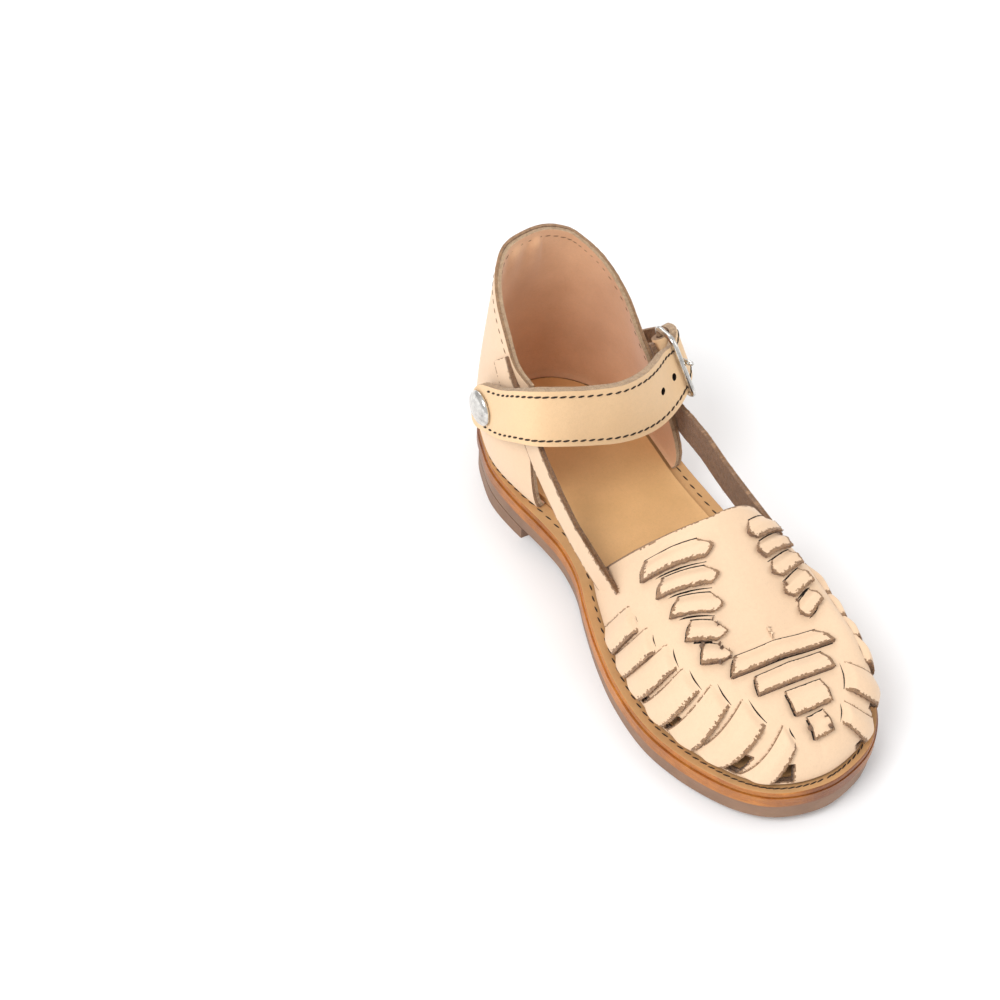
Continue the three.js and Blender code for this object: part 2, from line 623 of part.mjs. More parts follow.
// The high back: a wall between its foot on the welt and its rim, widening from a middle line
const BACK_MIDDLE = 0.2;
function backPoint(place, level, lift) {
  const signed = BACK.map((row) => ({ ...row, angle: row.side * angleOf(row.foot) }));
  const angle = along(signed, (row) => row.angle, place);
  const side = angle < 0 ? -1 : 1;
  const footAngle = Math.abs(angle) < 1e-6 ? 0 : Math.abs(angle);
  const foot = insetPoint(side, footAngle, weltShow(shareOf(footAngle)) - lift);
  const rimX = BALL_WIDTH * along(BACK, (row) => row.across, place);
  const rimY = lengthwise(along(BACK, (row) => row.u, place));
  const rimZ = SEAT_HEIGHT + BACK_HEIGHT * along(BACK, (row) => row.rise, place);
  const middle = new THREE.Vector2(0, lengthwise(BACK_MIDDLE));
  const out = new THREE.Vector2(rimX, rimY).sub(middle).normalize();
  const rim = new THREE.Vector2(rimX, rimY).addScaledVector(out, lift);
  const swell = HEEL_BULGE * Math.sin(Math.PI * Math.sqrt(level));
  const flat = foot.clone().lerp(rim, level).addScaledVector(out, swell);
  const low = weltTop(foot.y) + SEAM_GAP;
  return new THREE.Vector3(flat.x, flat.y, low + (rimZ - low) * level);
}

function backWall() {
  const sheet = (lift) => sequence(BACK_STEPS).map((place) => (
    sequence(BACK_LEVELS).map((level) => backPoint(place, level, lift))
  ));
  return slab(sheet(0), sheet(-WALL));
}

function stripMiddle(side, row) {
  if ('place' in row) return backPoint(row.place, row.level, STRIP_PROUD - STRIP_WALL / 2);
  if ('s' in row) return vampPoint({ side, ...row }, -WALL);
  const z = FOREPART_HEIGHT + INSTEP_HEIGHT * row.rise;
  return new THREE.Vector3(row.across * BALL_WIDTH, lengthwise(row.u), z);
}

// A side strip: a flat band along its middle line, its face turned to the side
function sideStrip(side, rows) {
  const line = new THREE.CatmullRomCurve3(rows.map((row) => stripMiddle(side, row)));
  const sheet = (lift) => sequence(STRIP_STEPS).map((t) => {
    const ahead = line.getTangent(t);
    const face = new THREE.Vector3(side, 0, 0).addScaledVector(ahead, -side * ahead.x).normalize();
    const across = new THREE.Vector3().crossVectors(ahead, face).normalize();
    return [-0.5, 0.5].map((k) => (
      line.getPoint(t).addScaledVector(across, k * SIDE_STRIP_WIDTH).addScaledVector(face, lift)
    ));
  });
  return slab(sheet(STRIP_WALL / 2), sheet(-STRIP_WALL / 2));
}

function upperGeometry() {
  let solid = solidOf(vampWall());
  const join = (geometry) => {
    solid = solid.add(solidOf(geometry));
  };
  for (const row of [...CHEVRONS_MEDIAL, ...CHEVRONS_LATERAL]) join(planPad(row, CHEVRON_STEPS));
  for (const row of CROSS_BANDS) join(planPad(row, BAND_STEPS));
  for (const [side, name] of [[-1, 'medial'], [1, 'lateral']]) {
    for (const strip of FAN[name]) join(fanPad(side, strip));
    for (const gap of GAPS[name]) solid = solid.subtract(solidOf(gapCutter(side, gap)));
  }
  join(backWall());
  join(sideStrip(-1, SIDE_STRIPS.medial));
  join(sideStrip(1, SIDE_STRIPS.lateral));
  return geometryFrom(solid);
}

// The ankle strap: place runs from the snap end to the tail, level from its lower to its upper edge
function strapPoint(place, level, lift) {
  const edge = (name, at) => {
    const pick = (k) => along(STRAP, (row) => row[name][k], at);
    return new THREE.Vector3(
      pick(0) * BALL_WIDTH,
      lengthwise(pick(1)),
      FOREPART_HEIGHT + INSTEP_HEIGHT * pick(2),
    );
  };
  const at = (p) => edge('low', p).lerp(edge('high', p), level);
  const step = 0.01;
  const ahead = at(Math.min(place + step, 1)).sub(at(Math.max(place - step, 0)));
  const up = edge('high', place).sub(edge('low', place));
  const face = new THREE.Vector3().crossVectors(ahead, up).normalize();
  return at(place).addScaledVector(face, lift);
}

// A band between two places of the strap with rounded ends, its outer face at the given lift
function band({ from, to, lift, thick, steps, rounded }) {
  const sheet = (height) => sequence(steps).map((t) => {
    const near = Math.min(rounded.start ? t : 1, rounded.end ? 1 - t : 1) / rounded.share;
    const full = near < 1 ? Math.sqrt(1 - (1 - near) ** 2) : 1;
    const reach = rounded.tip + (0.5 - rounded.tip) * full;
    return BAND_LINES.map((k) => (
      strapPoint(from + (to - from) * t, 0.5 + k * reach, height)
    ));
  });
  return slab(sheet(lift), sheet(lift - thick));
}

// Place and directions of the strap: out of its face, up across its width, ahead along it
function facing(place, lift) {
  const origin = strapPoint(place, 0.5, lift);
  const out = strapPoint(place, 0.5, lift + 1).sub(origin).normalize();
  const up = strapPoint(place, 1, 0).sub(strapPoint(place, 0, 0)).normalize();
  return { origin, out, up, ahead: new THREE.Vector3().crossVectors(up, out).normalize() };
}

// Moves a shape of revolution so that its axis runs along a direction through a point
function placed(geometry, origin, axis) {
  geometry.applyQuaternion(new THREE.Quaternion().setFromUnitVectors(new THREE.Vector3(0, 1, 0), axis));
  return geometry.translate(origin.x, origin.y, origin.z);
}

const lathed = (profile, sides) => (
  new THREE.LatheGeometry(profile.map(([x, y]) => new THREE.Vector2(x, y)), sides)
);
const rod = (radius, length) => lathed([[0, 0], [radius, 0], [radius, length], [0, length]], ROD_SIDES);
const sleeve = (inner, outer, width) => lathed([
  [inner, -width / 2], [outer, -width / 2], [outer, width / 2], [inner, width / 2], [inner, -width / 2],
], SLEEVE_SIDES);

const placeOf = (length) => length / STRAP_RUN;
const wire = BUCKLE_WIRE / 2;
const loopOuter = wire + SEAM_GAP + TAB_THICK;
const frontBar = facing(BUCKLE_AT - placeOf(BUCKLE_REACH / 2), wire + SEAM_GAP);
const rearBar = facing(BUCKLE_AT + placeOf(BUCKLE_REACH / 2), -STRAP_THICK - SEAM_GAP - loopOuter);

// The prong runs straight from the rear bar through the strap to rest over the front bar
function prongLine() {
  const rise = wire + PRONG_DIAMETER / 2 + 2 * SEAM_GAP;
  const reach = frontBar.origin.clone().sub(rearBar.origin);
  const square = frontBar.out.clone().addScaledVector(reach, -frontBar.out.dot(reach) / reach.lengthSq());
  const over = frontBar.origin.clone().addScaledVector(square.normalize(), rise);
  const course = over.clone().sub(rearBar.origin);
  return { axis: course.clone().normalize(), length: course.length() + PRONG_PAST };
}

function prongRod(extra) {
  const { axis, length } = prongLine();
  const start = rearBar.origin.clone().addScaledVector(axis, wire + SEAM_GAP + SLEEVE_WALL / 2);
  return placed(rod(PRONG_DIAMETER / 2 + extra, length - wire - SEAM_GAP), start, axis);
}

function strapGeometry() {
  const rounded = { ...STRAP_END, start: true, end: true };
  const leather = { from: STRAP_FROM, to: TAIL_AT, lift: 0, thick: STRAP_THICK };
  let solid = solidOf(band({ ...leather, steps: STRAP_STEPS, rounded }));
  const bore = (place, radius) => {
    const { origin, out } = facing(place, -STRAP_THICK * 1.5);
    solid = solid.subtract(solidOf(placed(rod(radius, STRAP_THICK * 2), origin, out)));
  };
  for (const place of HOLES_AT) bore(place, HOLE_DIAMETER / 2);
  bore(SNAP_AT, SNAP_POST / 2 + SEAM_GAP);
  return geometryFrom(solid.subtract(solidOf(prongRod(SEAM_GAP))));
}

// A round metal cap on its short post, its axis square to the strap
function snapGeometry() {
  const r = SNAP_DIAMETER / 2;
  const post = SNAP_POST / 2;
  const shape = lathed([
    [0, SEAM_GAP - STRAP_THICK],
    [post, SEAM_GAP - STRAP_THICK],
    [post, SEAM_GAP],
    [r, SEAM_GAP],
    ...DOME.map((row) => [r * row.radius, SEAM_GAP + SNAP_DOME * row.rise]),
  ], SNAP_SIDES);
  const { origin, out } = facing(SNAP_AT, 0);
  return placed(shape, origin, out);
}

// The buckle's frame: one wire in a flat oblong with rounded corners
function frameGeometry() {
  const half = BUCKLE_SPAN / 2;
  const corners = [[frontBar, -1], [frontBar, 1], [rearBar, 1], [rearBar, -1]].map(([bar, k]) => (
    bar.origin.clone().addScaledVector(bar.up, k * half)
  ));
  const line = [];
  corners.forEach((corner, i) => {
    const toward = (other) => other.clone().sub(corner).setLength(BUCKLE_CORNER).add(corner);
    const from = toward(corners[(i + 3) % 4]);
    const to = toward(corners[(i + 1) % 4]);
    const bend = new THREE.QuadraticBezierCurve3(from, corner, to);
    for (const t of sequence(CORNER_STEPS)) line.push(bend.getPoint(t));
  });
  const normal = corners[1].clone().sub(corners[0]).cross(corners[2].clone().sub(corners[1])).normalize();
  const points = [];
  line.forEach((p, i) => {
    const last = line[(i + line.length - 1) % line.length];
    const ahead = line[(i + 1) % line.length].clone().sub(last).normalize();
    const aside = new THREE.Vector3().crossVectors(ahead, normal).normalize();
    for (let k = 0; k < WIRE_SIDES; k += 1) {
      const turn = (2 * Math.PI * k) / WIRE_SIDES;
      points.push(p.clone()
        .addScaledVector(normal, wire * Math.cos(turn))
        .addScaledVector(aside, wire * Math.sin(turn)));
    }
  });
  const at = (i, k) => (i % line.length) * WIRE_SIDES + (k % WIRE_SIDES);
  const faces = [];
  for (let i = 0; i < line.length; i += 1) {
    for (let k = 0; k < WIRE_SIDES; k += 1) {
      faces.push([at(i, k), at(i + 1, k), at(i + 1, k + 1)], [at(i, k), at(i + 1, k + 1), at(i, k + 1)]);
    }
  }
  return outward(geometryOf(points, faces));
}

function prongGeometry() {
  const inner = wire + SEAM_GAP;
  const ring = solidOf(placed(sleeve(inner, inner + SLEEVE_WALL, SLEEVE_WIDTH), rearBar.origin, rearBar.up));
  return geometryFrom(ring.add(solidOf(prongRod(0))));
}

// The leather tab: a loop round the rear bar, slotted for the prong, and a band to the back
function tabGeometry() {
  const inner = wire + SEAM_GAP;
  const loop = solidOf(placed(sleeve(inner, loopOuter, TAB_WIDTH), rearBar.origin, rearBar.up));
  const rounded = { ...TAB_END, start: false, end: true };
  const from = BUCKLE_AT + placeOf(BUCKLE_REACH / 2 + inner + SEAM_GAP);
  const flap = solidOf(band({
    from, to: 1, lift: -STRAP_THICK - SEAM_GAP, thick: TAB_THICK, steps: TAB_STEPS, rounded,
  }));
  const slotWidth = SLEEVE_WIDTH + 4 * SEAM_GAP;
  const slotReach = 2 * (loopOuter + SEAM_GAP);
  const slot = new THREE.BoxGeometry(slotReach, slotWidth, slotReach);
  slot.applyMatrix4(new THREE.Matrix4().makeBasis(rearBar.ahead, rearBar.up, rearBar.out));
  slot.translate(rearBar.origin.x, rearBar.origin.y, rearBar.origin.z);
  return geometryFrom(loop.add(flap).subtract(solidOf(slot)));
}

const group = new THREE.Group();
function addMesh(name, geometry, color, roughness, metalness = 0) {
  const mesh = new THREE.Mesh(geometry, new THREE.MeshStandardMaterial({ color, roughness, metalness }));
  mesh.name = name;
  group.add(mesh);
  return mesh;
}

addMesh('outsole', outsoleGeometry(), COLOUR.outsole, 0.85);
addMesh('heel_lift', liftGeometry(), COLOUR.outsole, 0.85);
addMesh('midsole', midsoleGeometry(), COLOUR.midsole, 0.55);
addMesh('welt', weltGeometry(), COLOUR.welt, 0.65);
addMesh('insole', insoleGeometry(), COLOUR.insole, 0.6);
addMesh('upper', upperGeometry(), COLOUR.upper, 0.6);
addMesh('ankle_strap', strapGeometry(), COLOUR.strap, 0.6);
addMesh('snap_cap', snapGeometry(), COLOUR.metal, 0.25, 0.9);
addMesh('buckle_frame', frameGeometry(), COLOUR.metal, 0.25, 0.9);
addMesh('buckle_prong', prongGeometry(), COLOUR.metal, 0.25, 0.9);
addMesh('buckle_tab', tabGeometry(), COLOUR.strap, 0.6);

group.updateMatrixWorld(true);
const bounds = new THREE.Box3().setFromObject(group);
group.position.set(-(bounds.min.x + bounds.max.x) / 2, -(bounds.min.y + bounds.max.y) / 2, -bounds.min.z);

export default group;
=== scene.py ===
"""A child's woven leather sandal, left shoe, dressed round its packed frame."""

import math
import random

import bmesh
import bpy
from mathutils import Matrix, Vector, noise


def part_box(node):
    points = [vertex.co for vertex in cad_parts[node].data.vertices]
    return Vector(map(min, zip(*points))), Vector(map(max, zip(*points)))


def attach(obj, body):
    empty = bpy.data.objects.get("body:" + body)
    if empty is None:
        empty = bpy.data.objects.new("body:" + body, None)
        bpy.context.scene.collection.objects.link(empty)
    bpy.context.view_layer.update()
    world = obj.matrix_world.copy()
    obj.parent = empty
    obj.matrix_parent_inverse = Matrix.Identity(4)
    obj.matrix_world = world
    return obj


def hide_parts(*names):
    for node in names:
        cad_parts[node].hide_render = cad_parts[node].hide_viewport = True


bl_info = {
    "name": "Woven Sandal",
    "version": (1, 0, 0),
    "blender": (4, 5, 0),
    "location": "View3D > Sidebar > Sandal",
    "description": "Builds a woven leather sandal piece by piece",
    "category": "Object",
}

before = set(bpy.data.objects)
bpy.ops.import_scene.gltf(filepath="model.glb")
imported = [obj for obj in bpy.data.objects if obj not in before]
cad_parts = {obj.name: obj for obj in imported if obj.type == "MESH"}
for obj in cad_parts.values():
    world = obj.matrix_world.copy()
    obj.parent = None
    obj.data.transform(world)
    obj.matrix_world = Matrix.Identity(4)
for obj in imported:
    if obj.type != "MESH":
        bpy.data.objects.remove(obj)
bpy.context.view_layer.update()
SOLE_LOW, SOLE_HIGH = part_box("outsole")
MM = 0.001
SHIFT = Vector(((SOLE_LOW[0] + SOLE_HIGH[0]) / 2, (SOLE_LOW[1] + SOLE_HIGH[1]) / 2, 0))

# Sizes of the solids, in millimetres
SOLE_LENGTH = 175
BALL_WIDTH = 67
SEAT_HEIGHT = 16.5
FOREPART_HEIGHT = 11
TOE_SPRING = 3.4
INSTEP_HEIGHT = 37.4
BACK_HEIGHT = 66.8
LIFT_LENGTH = 47.5
OUTSOLE_THICK = 5.4
MIDSOLE_THICK = 3.2
WELT_THICK = 1.8
INSOLE_THICK = 3.4
SEAM_GAP = 0.3
WALL = 2.2
STRIP_WALL = 1.9
STRIP_PROUD = 0.9
SIDE_STRIP_WIDTH = 10
HEEL_BULGE = 3
STRAP_THICK = 2.4
STRAP_RUN = 125
STRAP_FROM = 0.01
TAIL_AT = 0.91
SNAP_AT = 0.063
HOLES_AT = (0.612, 0.675)
BUCKLE_AT = 0.758
BUCKLE_SPAN = 19.5
BUCKLE_REACH = 11

# Sole outline: share of the length from the heel, medial and lateral half width
OUTLINE = (
    (0.0, 0.0, 0.0),
    (0.01, 0.125, 0.14),
    (0.03, 0.212, 0.222),
    (0.07, 0.307, 0.31),
    (0.12, 0.357, 0.366),
    (0.18, 0.391, 0.403),
    (0.25, 0.38, 0.419),
    (0.33, 0.341, 0.427),
    (0.38, 0.326, 0.438),
    (0.44, 0.342, 0.453),
    (0.5, 0.392, 0.47),
    (0.58, 0.452, 0.491),
    (0.66, 0.493, 0.5),
    (0.76, 0.5, 0.492),
    (0.83, 0.462, 0.48),
    (0.89, 0.402, 0.436),
    (0.94, 0.327, 0.348),
    (0.975, 0.234, 0.234),
    (0.993, 0.13, 0.115),
    (1.0, 0.0, 0.0),
)
WELT_SHOW = ((0.0, 0.03), (0.15, 0.033), (0.35, 0.063), (0.5, 0.06), (0.8, 0.054), (1.0, 0.045))

# Ribs of the vamp: s, u, ridge, height, fullness, swell and bow (medial, lateral)
VAMP = (
    (0.0, 0.583, 0.075, 1.015, 1.55, 2.05, 0.03, 0.03, 0.1, 0.09),
    (0.25, 0.637, 0.076, 0.885, 1.6, 2.01, 0.024, 0.055, 0.045, 0.05),
    (0.5, 0.685, 0.078, 0.757, 1.7, 1.98, 0.02, 0.07, 0.015, 0.02),
    (0.75, 0.727, 0.079, 0.645, 1.8, 1.94, 0.014, 0.055, 0.0, 0.0),
    (1.0, 0.768, 0.081, 0.55, 1.9, 1.9, 0.003, 0.003, 0.0, 0.0),
)
VAMP_REAR = {-1: 0.451, 1: 0.505}

# Blocks on the vamp: rear, middle and front place of the outer end, then of the inner end
CHEVRONS = {
    -1: (
        ((-0.201, 0.549), (-0.229, 0.565), (-0.253, 0.581), (-0.025, 0.589), (0.009, 0.617), (-0.04, 0.627)),
        ((-0.207, 0.599), (-0.234, 0.614), (-0.257, 0.628), (-0.056, 0.632), (-0.021, 0.658), (-0.066, 0.666)),
        ((-0.203, 0.646), (-0.234, 0.659), (-0.262, 0.672), (-0.083, 0.672), (-0.055, 0.699), (-0.105, 0.704)),
        ((-0.208, 0.691), (-0.234, 0.706), (-0.259, 0.72), (-0.124, 0.71), (-0.09, 0.737), (-0.148, 0.742)),
        ((-0.205, 0.734), (-0.228, 0.749), (-0.25, 0.764), (-0.154, 0.746), (-0.118, 0.77), (-0.168, 0.776)),
    ),
    1: (
        ((0.345, 0.571), (0.355, 0.591), (0.36, 0.611), (0.215, 0.595), (0.18, 0.62), (0.208, 0.633)),
        ((0.35, 0.61), (0.358, 0.628), (0.362, 0.645), (0.22, 0.632), (0.185, 0.65), (0.214, 0.664)),
        ((0.35, 0.647), (0.36, 0.663), (0.365, 0.679), (0.24, 0.664), (0.205, 0.686), (0.238, 0.698)),
        ((0.345, 0.683), (0.357, 0.698), (0.362, 0.715), (0.25, 0.7), (0.215, 0.72), (0.25, 0.732)),
        ((0.338, 0.722), (0.346, 0.736), (0.35, 0.75), (0.265, 0.736), (0.232, 0.756), (0.266, 0.768)),
    ),
}
BANDS = (
    ((-0.117, 0.776), (-0.15, 0.792), (-0.178, 0.808), (0.256, 0.79), (0.272, 0.807), (0.284, 0.823)),
    ((-0.095, 0.824), (-0.112, 0.838), (-0.124, 0.854), (0.213, 0.831), (0.216, 0.847), (0.214, 0.863)),
    ((-0.022, 0.868), (-0.032, 0.887), (-0.038, 0.906), (0.139, 0.873), (0.133, 0.891), (0.124, 0.909)),
    ((0.005, 0.916), (-0.002, 0.931), (-0.01, 0.945), (0.08, 0.916), (0.078, 0.931), (0.075, 0.945)),
)

# Fan strips: s of rear and front edge at the foot, s of both at the head, v of both at the head
FAN = {
    -1: (
        (0.125, 0.185, 0.135, 0.19, 0.35, 0.34),
        (0.195, 0.25, 0.226, 0.277, 0.41, 0.37),
        (0.25, 0.315, 0.315, 0.366, 0.466, 0.417),
        (0.335, 0.405, 0.406, 0.47, 0.461, 0.419),
        (0.43, 0.512, 0.525, 0.59, 0.507, 0.448),
        (0.515, 0.6, 0.665, 0.758, 0.54, 0.448),
        (0.665, 0.785, 0.87, 0.886, 0.485, 0.361),
    ),
    1: (
        (0.17, 0.25, 0.19, 0.275, 0.41, 0.41),
        (0.255, 0.335, 0.275, 0.345, 0.41, 0.39),
        (0.34, 0.42, 0.349, 0.43, 0.39, 0.4),
        (0.425, 0.49, 0.443, 0.53, 0.42, 0.38),
        (0.5, 0.6, 0.65, 0.741, 0.58, 0.498),
        (0.66, 0.77, 0.813, 0.844, 0.486, 0.376),
    ),
}
# Openings between the fan strips: side, s of both edges at the foot and at the head, v low and high
OPENINGS = (
    (-1, 0.32, 0.332, 0.33, 0.345, 0.05, 0.16),
    (-1, 0.408, 0.437, 0.43, 0.462, 0.05, 0.22),
    (-1, 0.612, 0.668, 0.66, 0.72, 0.05, 0.24),
    (-1, 0.8, 0.88, 0.84, 0.885, 0.05, 0.22),
    (1, 0.49, 0.505, 0.505, 0.535, 0.05, 0.24),
    (1, 0.605, 0.66, 0.64, 0.7, 0.05, 0.27),
    (1, 0.782, 0.825, 0.8, 0.83, 0.05, 0.14),
)

# The back: side, u of the foot, then across, u and height of the rim
BACK = (
    (-1, 0.297, -0.336, 0.255, 0.66),
    (-1, 0.235, -0.355, 0.215, 0.705),
    (-1, 0.17, -0.343, 0.172, 0.79),
    (-1, 0.105, -0.31, 0.119, 0.868),
    (-1, 0.05, -0.255, 0.077, 0.936),
    (-1, 0.015, -0.16, 0.045, 0.985),
    (1, 0.0, 0.01, 0.037, 1.0),
    (1, 0.015, 0.134, 0.049, 0.972),
    (1, 0.05, 0.205, 0.071, 0.921),
    (1, 0.105, 0.262, 0.109, 0.853),
    (1, 0.17, 0.31, 0.154, 0.726),
    (1, 0.235, 0.332, 0.2, 0.57),
    (1, 0.315, 0.354, 0.25, 0.42),
)

# Middle lines of the side strips
SIDE_STRIPS = {
    -1: (("vamp", 0.08, 0.2), ("free", -0.305, 0.44, 0.3), ("free", -0.33, 0.38, 0.5),
         ("free", -0.35, 0.302, 0.81), ("back", 0.02, 0.76), ("back", 0.09, 0.82), ("back", 0.155, 0.86)),
    1: (("vamp", 0.1, 0.38), ("free", 0.402, 0.445, 0.51), ("free", 0.406, 0.37, 0.55),
        ("free", 0.408, 0.3, 0.55), ("back", 0.985, 0.72), ("back", 0.94, 0.78), ("back", 0.9, 0.82)),
}

# Ankle strap: lower edge (across, u, rise), then upper edge
STRAP = (
    (-0.446, 0.134, 0.508, -0.437, 0.131, 0.976),
    (-0.446, 0.175, 0.623, -0.437, 0.178, 1.115),
    (-0.446, 0.231, 0.759, -0.437, 0.228, 1.27),
    (-0.437, 0.281, 0.92, -0.428, 0.27, 1.425),
    (-0.391, 0.322, 1.013, -0.384, 0.306, 1.529),
    (-0.282, 0.339, 0.992, -0.275, 0.322, 1.511),
    (-0.142, 0.343, 0.904, -0.134, 0.326, 1.43),
    (0.0, 0.347, 0.834, 0.015, 0.326, 1.358),
    (0.134, 0.343, 0.789, 0.142, 0.313, 1.31),
    (0.254, 0.331, 0.775, 0.239, 0.293, 1.278),
    (0.372, 0.308, 0.785, 0.331, 0.264, 1.218),
    (0.457, 0.284, 0.838, 0.416, 0.243, 1.164),
    (0.512, 0.253, 0.843, 0.478, 0.213, 1.169),
    (0.527, 0.216, 0.749, 0.497, 0.178, 1.078),
    (0.518, 0.182, 0.616, 0.491, 0.145, 0.944),
    (0.482, 0.151, 0.495, 0.461, 0.117, 0.824),
)


# ---------------------------------------------------------------- shape of the shoe
def column(rows, key, k, at):
    """Smooth interpolation of column k of a table over its column key."""
    last = len(rows) - 1
    x = min(max(at, rows[0][key]), rows[last][key])
    i = 0
    while i < last - 1 and x > rows[i + 1][key]:
        i += 1

    def slope(a):
        return (rows[a + 1][k] - rows[a][k]) / (rows[a + 1][key] - rows[a][key])

    def tangent(a):
        if a == 0:
            return slope(0)
        if a == last:
            return slope(last - 1)
        return (slope(a - 1) + slope(a)) / 2

    width = rows[i + 1][key] - rows[i][key]
    t = (x - rows[i][key]) / width
    rise = t * t * (3 - 2 * t)
    bend = width * t * (1 - t) * ((1 - t) * tangent(i) - t * tangent(i + 1))
    return rows[i][k] * (1 - rise) + rows[i + 1][k] * rise + bend


def even(rows):
    """The rows with their place from 0 to 1 put first."""
    return [(i / (len(rows) - 1), *row) for i, row in enumerate(rows)]


def angle_of(u):
    return math.acos(1 - 2 * u)


def share_of(angle):
    return (1 - math.cos(angle)) / 2


def lengthwise(u):
    return SOLE_LENGTH / 2 - u * SOLE_LENGTH


def smooth(t):
    t = min(max(t, 0), 1)
    return t * t * (3 - 2 * t)


OUTLINE_BY_ANGLE = [(angle_of(u), medial, lateral) for u, medial, lateral in OUTLINE]
BACK_PLACES = even([(side * angle_of(foot), across, u, rise) for side, foot, across, u, rise in BACK])
STRAP_PLACES = even(STRAP)


def edge_point(side, angle):
    half = BALL_WIDTH * column(OUTLINE_BY_ANGLE, 0, 1 if side < 0 else 2, angle)
    return Vector((side * half, lengthwise(share_of(angle))))


def inset_point(side, angle, inset):
    """A point of the sole's outline moved inward, square to the edge."""
    step = 0.002
    ahead = edge_point(side, min(angle + step, math.pi)) - edge_point(side, max(angle - step, 0))
    ahead.normalize()
    inward = Vector((side * ahead.y, -side * ahead.x))
    if angle <= 0:
        inward = Vector((0, -1))
    if angle >= math.pi:
        inward = Vector((0, 1))
    return edge_point(side, angle) + inward * inset


def welt_top(y):
    u = 0.5 - y / SOLE_LENGTH
    drop = (SEAT_HEIGHT - FOREPART_HEIGHT) * (1 - smooth((u - 0.15) / 0.45))
    toe = min(max(u - 0.7, 0), 0.3) / 0.3
    return FOREPART_HEIGHT + drop + TOE_SPRING * toe * toe


def welt_show(u):
    return BALL_WIDTH * column(WELT_SHOW, 0, 1, u)


def vamp_point(side, s, v, lift):
    """A point of the vamp: s from its rear edge to the toe, v from its foot to the ridge."""
    medial = side < 0
    s = min(max(s, 0), 1)
    start = angle_of(VAMP_REAR[side])
    angle = start + (math.pi - start) * s
    foot = inset_point(side, angle, welt_show(share_of(angle)) - lift)
    top = Vector((BALL_WIDTH * column(VAMP, 0, 2, s), lengthwise(column(VAMP, 0, 1, s))))
    full = column(VAMP, 0, 4 if medial else 5, s)
    swell = BALL_WIDTH * column(VAMP, 0, 6 if medial else 7, s)
    phi = v * math.pi / 2
    reach = 0 if v >= 1 else math.cos(phi) ** (2 / full)
    climb = math.sin(max(phi, 0)) ** (2 / full)
    out = (foot - top).normalized()
    place = foot.lerp(top, 1 - reach) + out * swell * math.sin(2 * phi)
    place.y -= BALL_WIDTH * column(VAMP, 0, 8 if medial else 9, s) * math.sin(2 * phi)
    low = welt_top(foot.y) + SEAM_GAP
    blend = smooth((v - 0.35) / 0.5)
    here = column(VAMP, 0, 3, s)
    beside = column(VAMP, 1, 3, 0.5 - place.y / SOLE_LENGTH)
    ridge = FOREPART_HEIGHT + INSTEP_HEIGHT * (here * (1 - blend) + beside * blend) + lift
    return Vector((place.x, place.y, low + (ridge - low) * climb))


def vamp_over(across, u):
    """The place (side, s, v) on the vamp that lies over a point of its plan."""
    target = Vector((across * BALL_WIDTH, lengthwise(u)))
    front = VAMP[-1][1]
    ridge = BALL_WIDTH * column(VAMP, 1, 2, u) * min((1 - u) / (1 - front), 1)
    side = -1 if target.x < ridge else 1

    def plan(s, v):
        return vamp_point(side, s, v, 0).to_2d()

    low, high = 0, 1
    for _ in range(16):
        s = (low + high) / 2
        top = plan(s, 1)
        a, b = plan(s, 0.3) - top, target - top
        if side * (a.x * b.y - a.y * b.x) > 0:
            high = s
        else:
            low = s
    top = plan(s, 1)
    low, high = 0.3, 1
    for _ in range(16):
        v = (low + high) / 2
        if (plan(s, v) - top).length < (target - top).length:
            high = v
        else:
            low = v
    return side, s, v


def back_point(place, level, lift):
    angle = column(BACK_PLACES, 0, 1, place)
    side = -1 if angle < 0 else 1
    angle = abs(angle)
    foot = inset_point(side, angle if angle > 1e-6 else 0, welt_show(share_of(angle)) - lift)
    rim = Vector((BALL_WIDTH * column(BACK_PLACES, 0, 2, place), lengthwise(column(BACK_PLACES, 0, 3, place))))
    high = SEAT_HEIGHT + BACK_HEIGHT * column(BACK_PLACES, 0, 4, place)
    out = (rim - Vector((0, lengthwise(0.2)))).normalized()
    rim = rim + out * lift
    level = max(level, 0)
    flat = foot.lerp(rim, level) + out * HEEL_BULGE * math.sin(math.pi * math.sqrt(min(level, 1)))
    low = welt_top(foot.y) + SEAM_GAP
    return Vector((flat.x, flat.y, low + (high - low) * level))


def strap_edge(place, upper):
    k = 4 if upper else 1
    return Vector((
        BALL_WIDTH * column(STRAP_PLACES, 0, k, place),
        lengthwise(column(STRAP_PLACES, 0, k + 1, place)),
        FOREPART_HEIGHT + INSTEP_HEIGHT * column(STRAP_PLACES, 0, k + 2, place),
    ))


def strap_point(place, level, lift):
    def at(p):
        return strap_edge(p, False).lerp(strap_edge(p, True), level)

    ahead = at(min(place + 0.01, 1)) - at(max(place - 0.01, 0))
    up = strap_edge(place, True) - strap_edge(place, False)
    return at(place) + ahead.cross(up).normalized() * lift


def facing(place, lift):
    """Place and directions of the strap: out of its face, up across it, ahead along it."""
    origin = strap_point(place, 0.5, lift)
    out = (strap_point(place, 0.5, lift + 1) - origin).normalized()
    up = (strap_point(place, 1, 0) - strap_point(place, 0, 0)).normalized()
    return origin, out, up, up.cross(out).normalized()


# ---------------------------------------------------------------- modelling helpers
def at(p):
    """A point in millimetres of the shoe's own frame, in metres of the scene."""
    return (p + SHIFT / MM) * MM


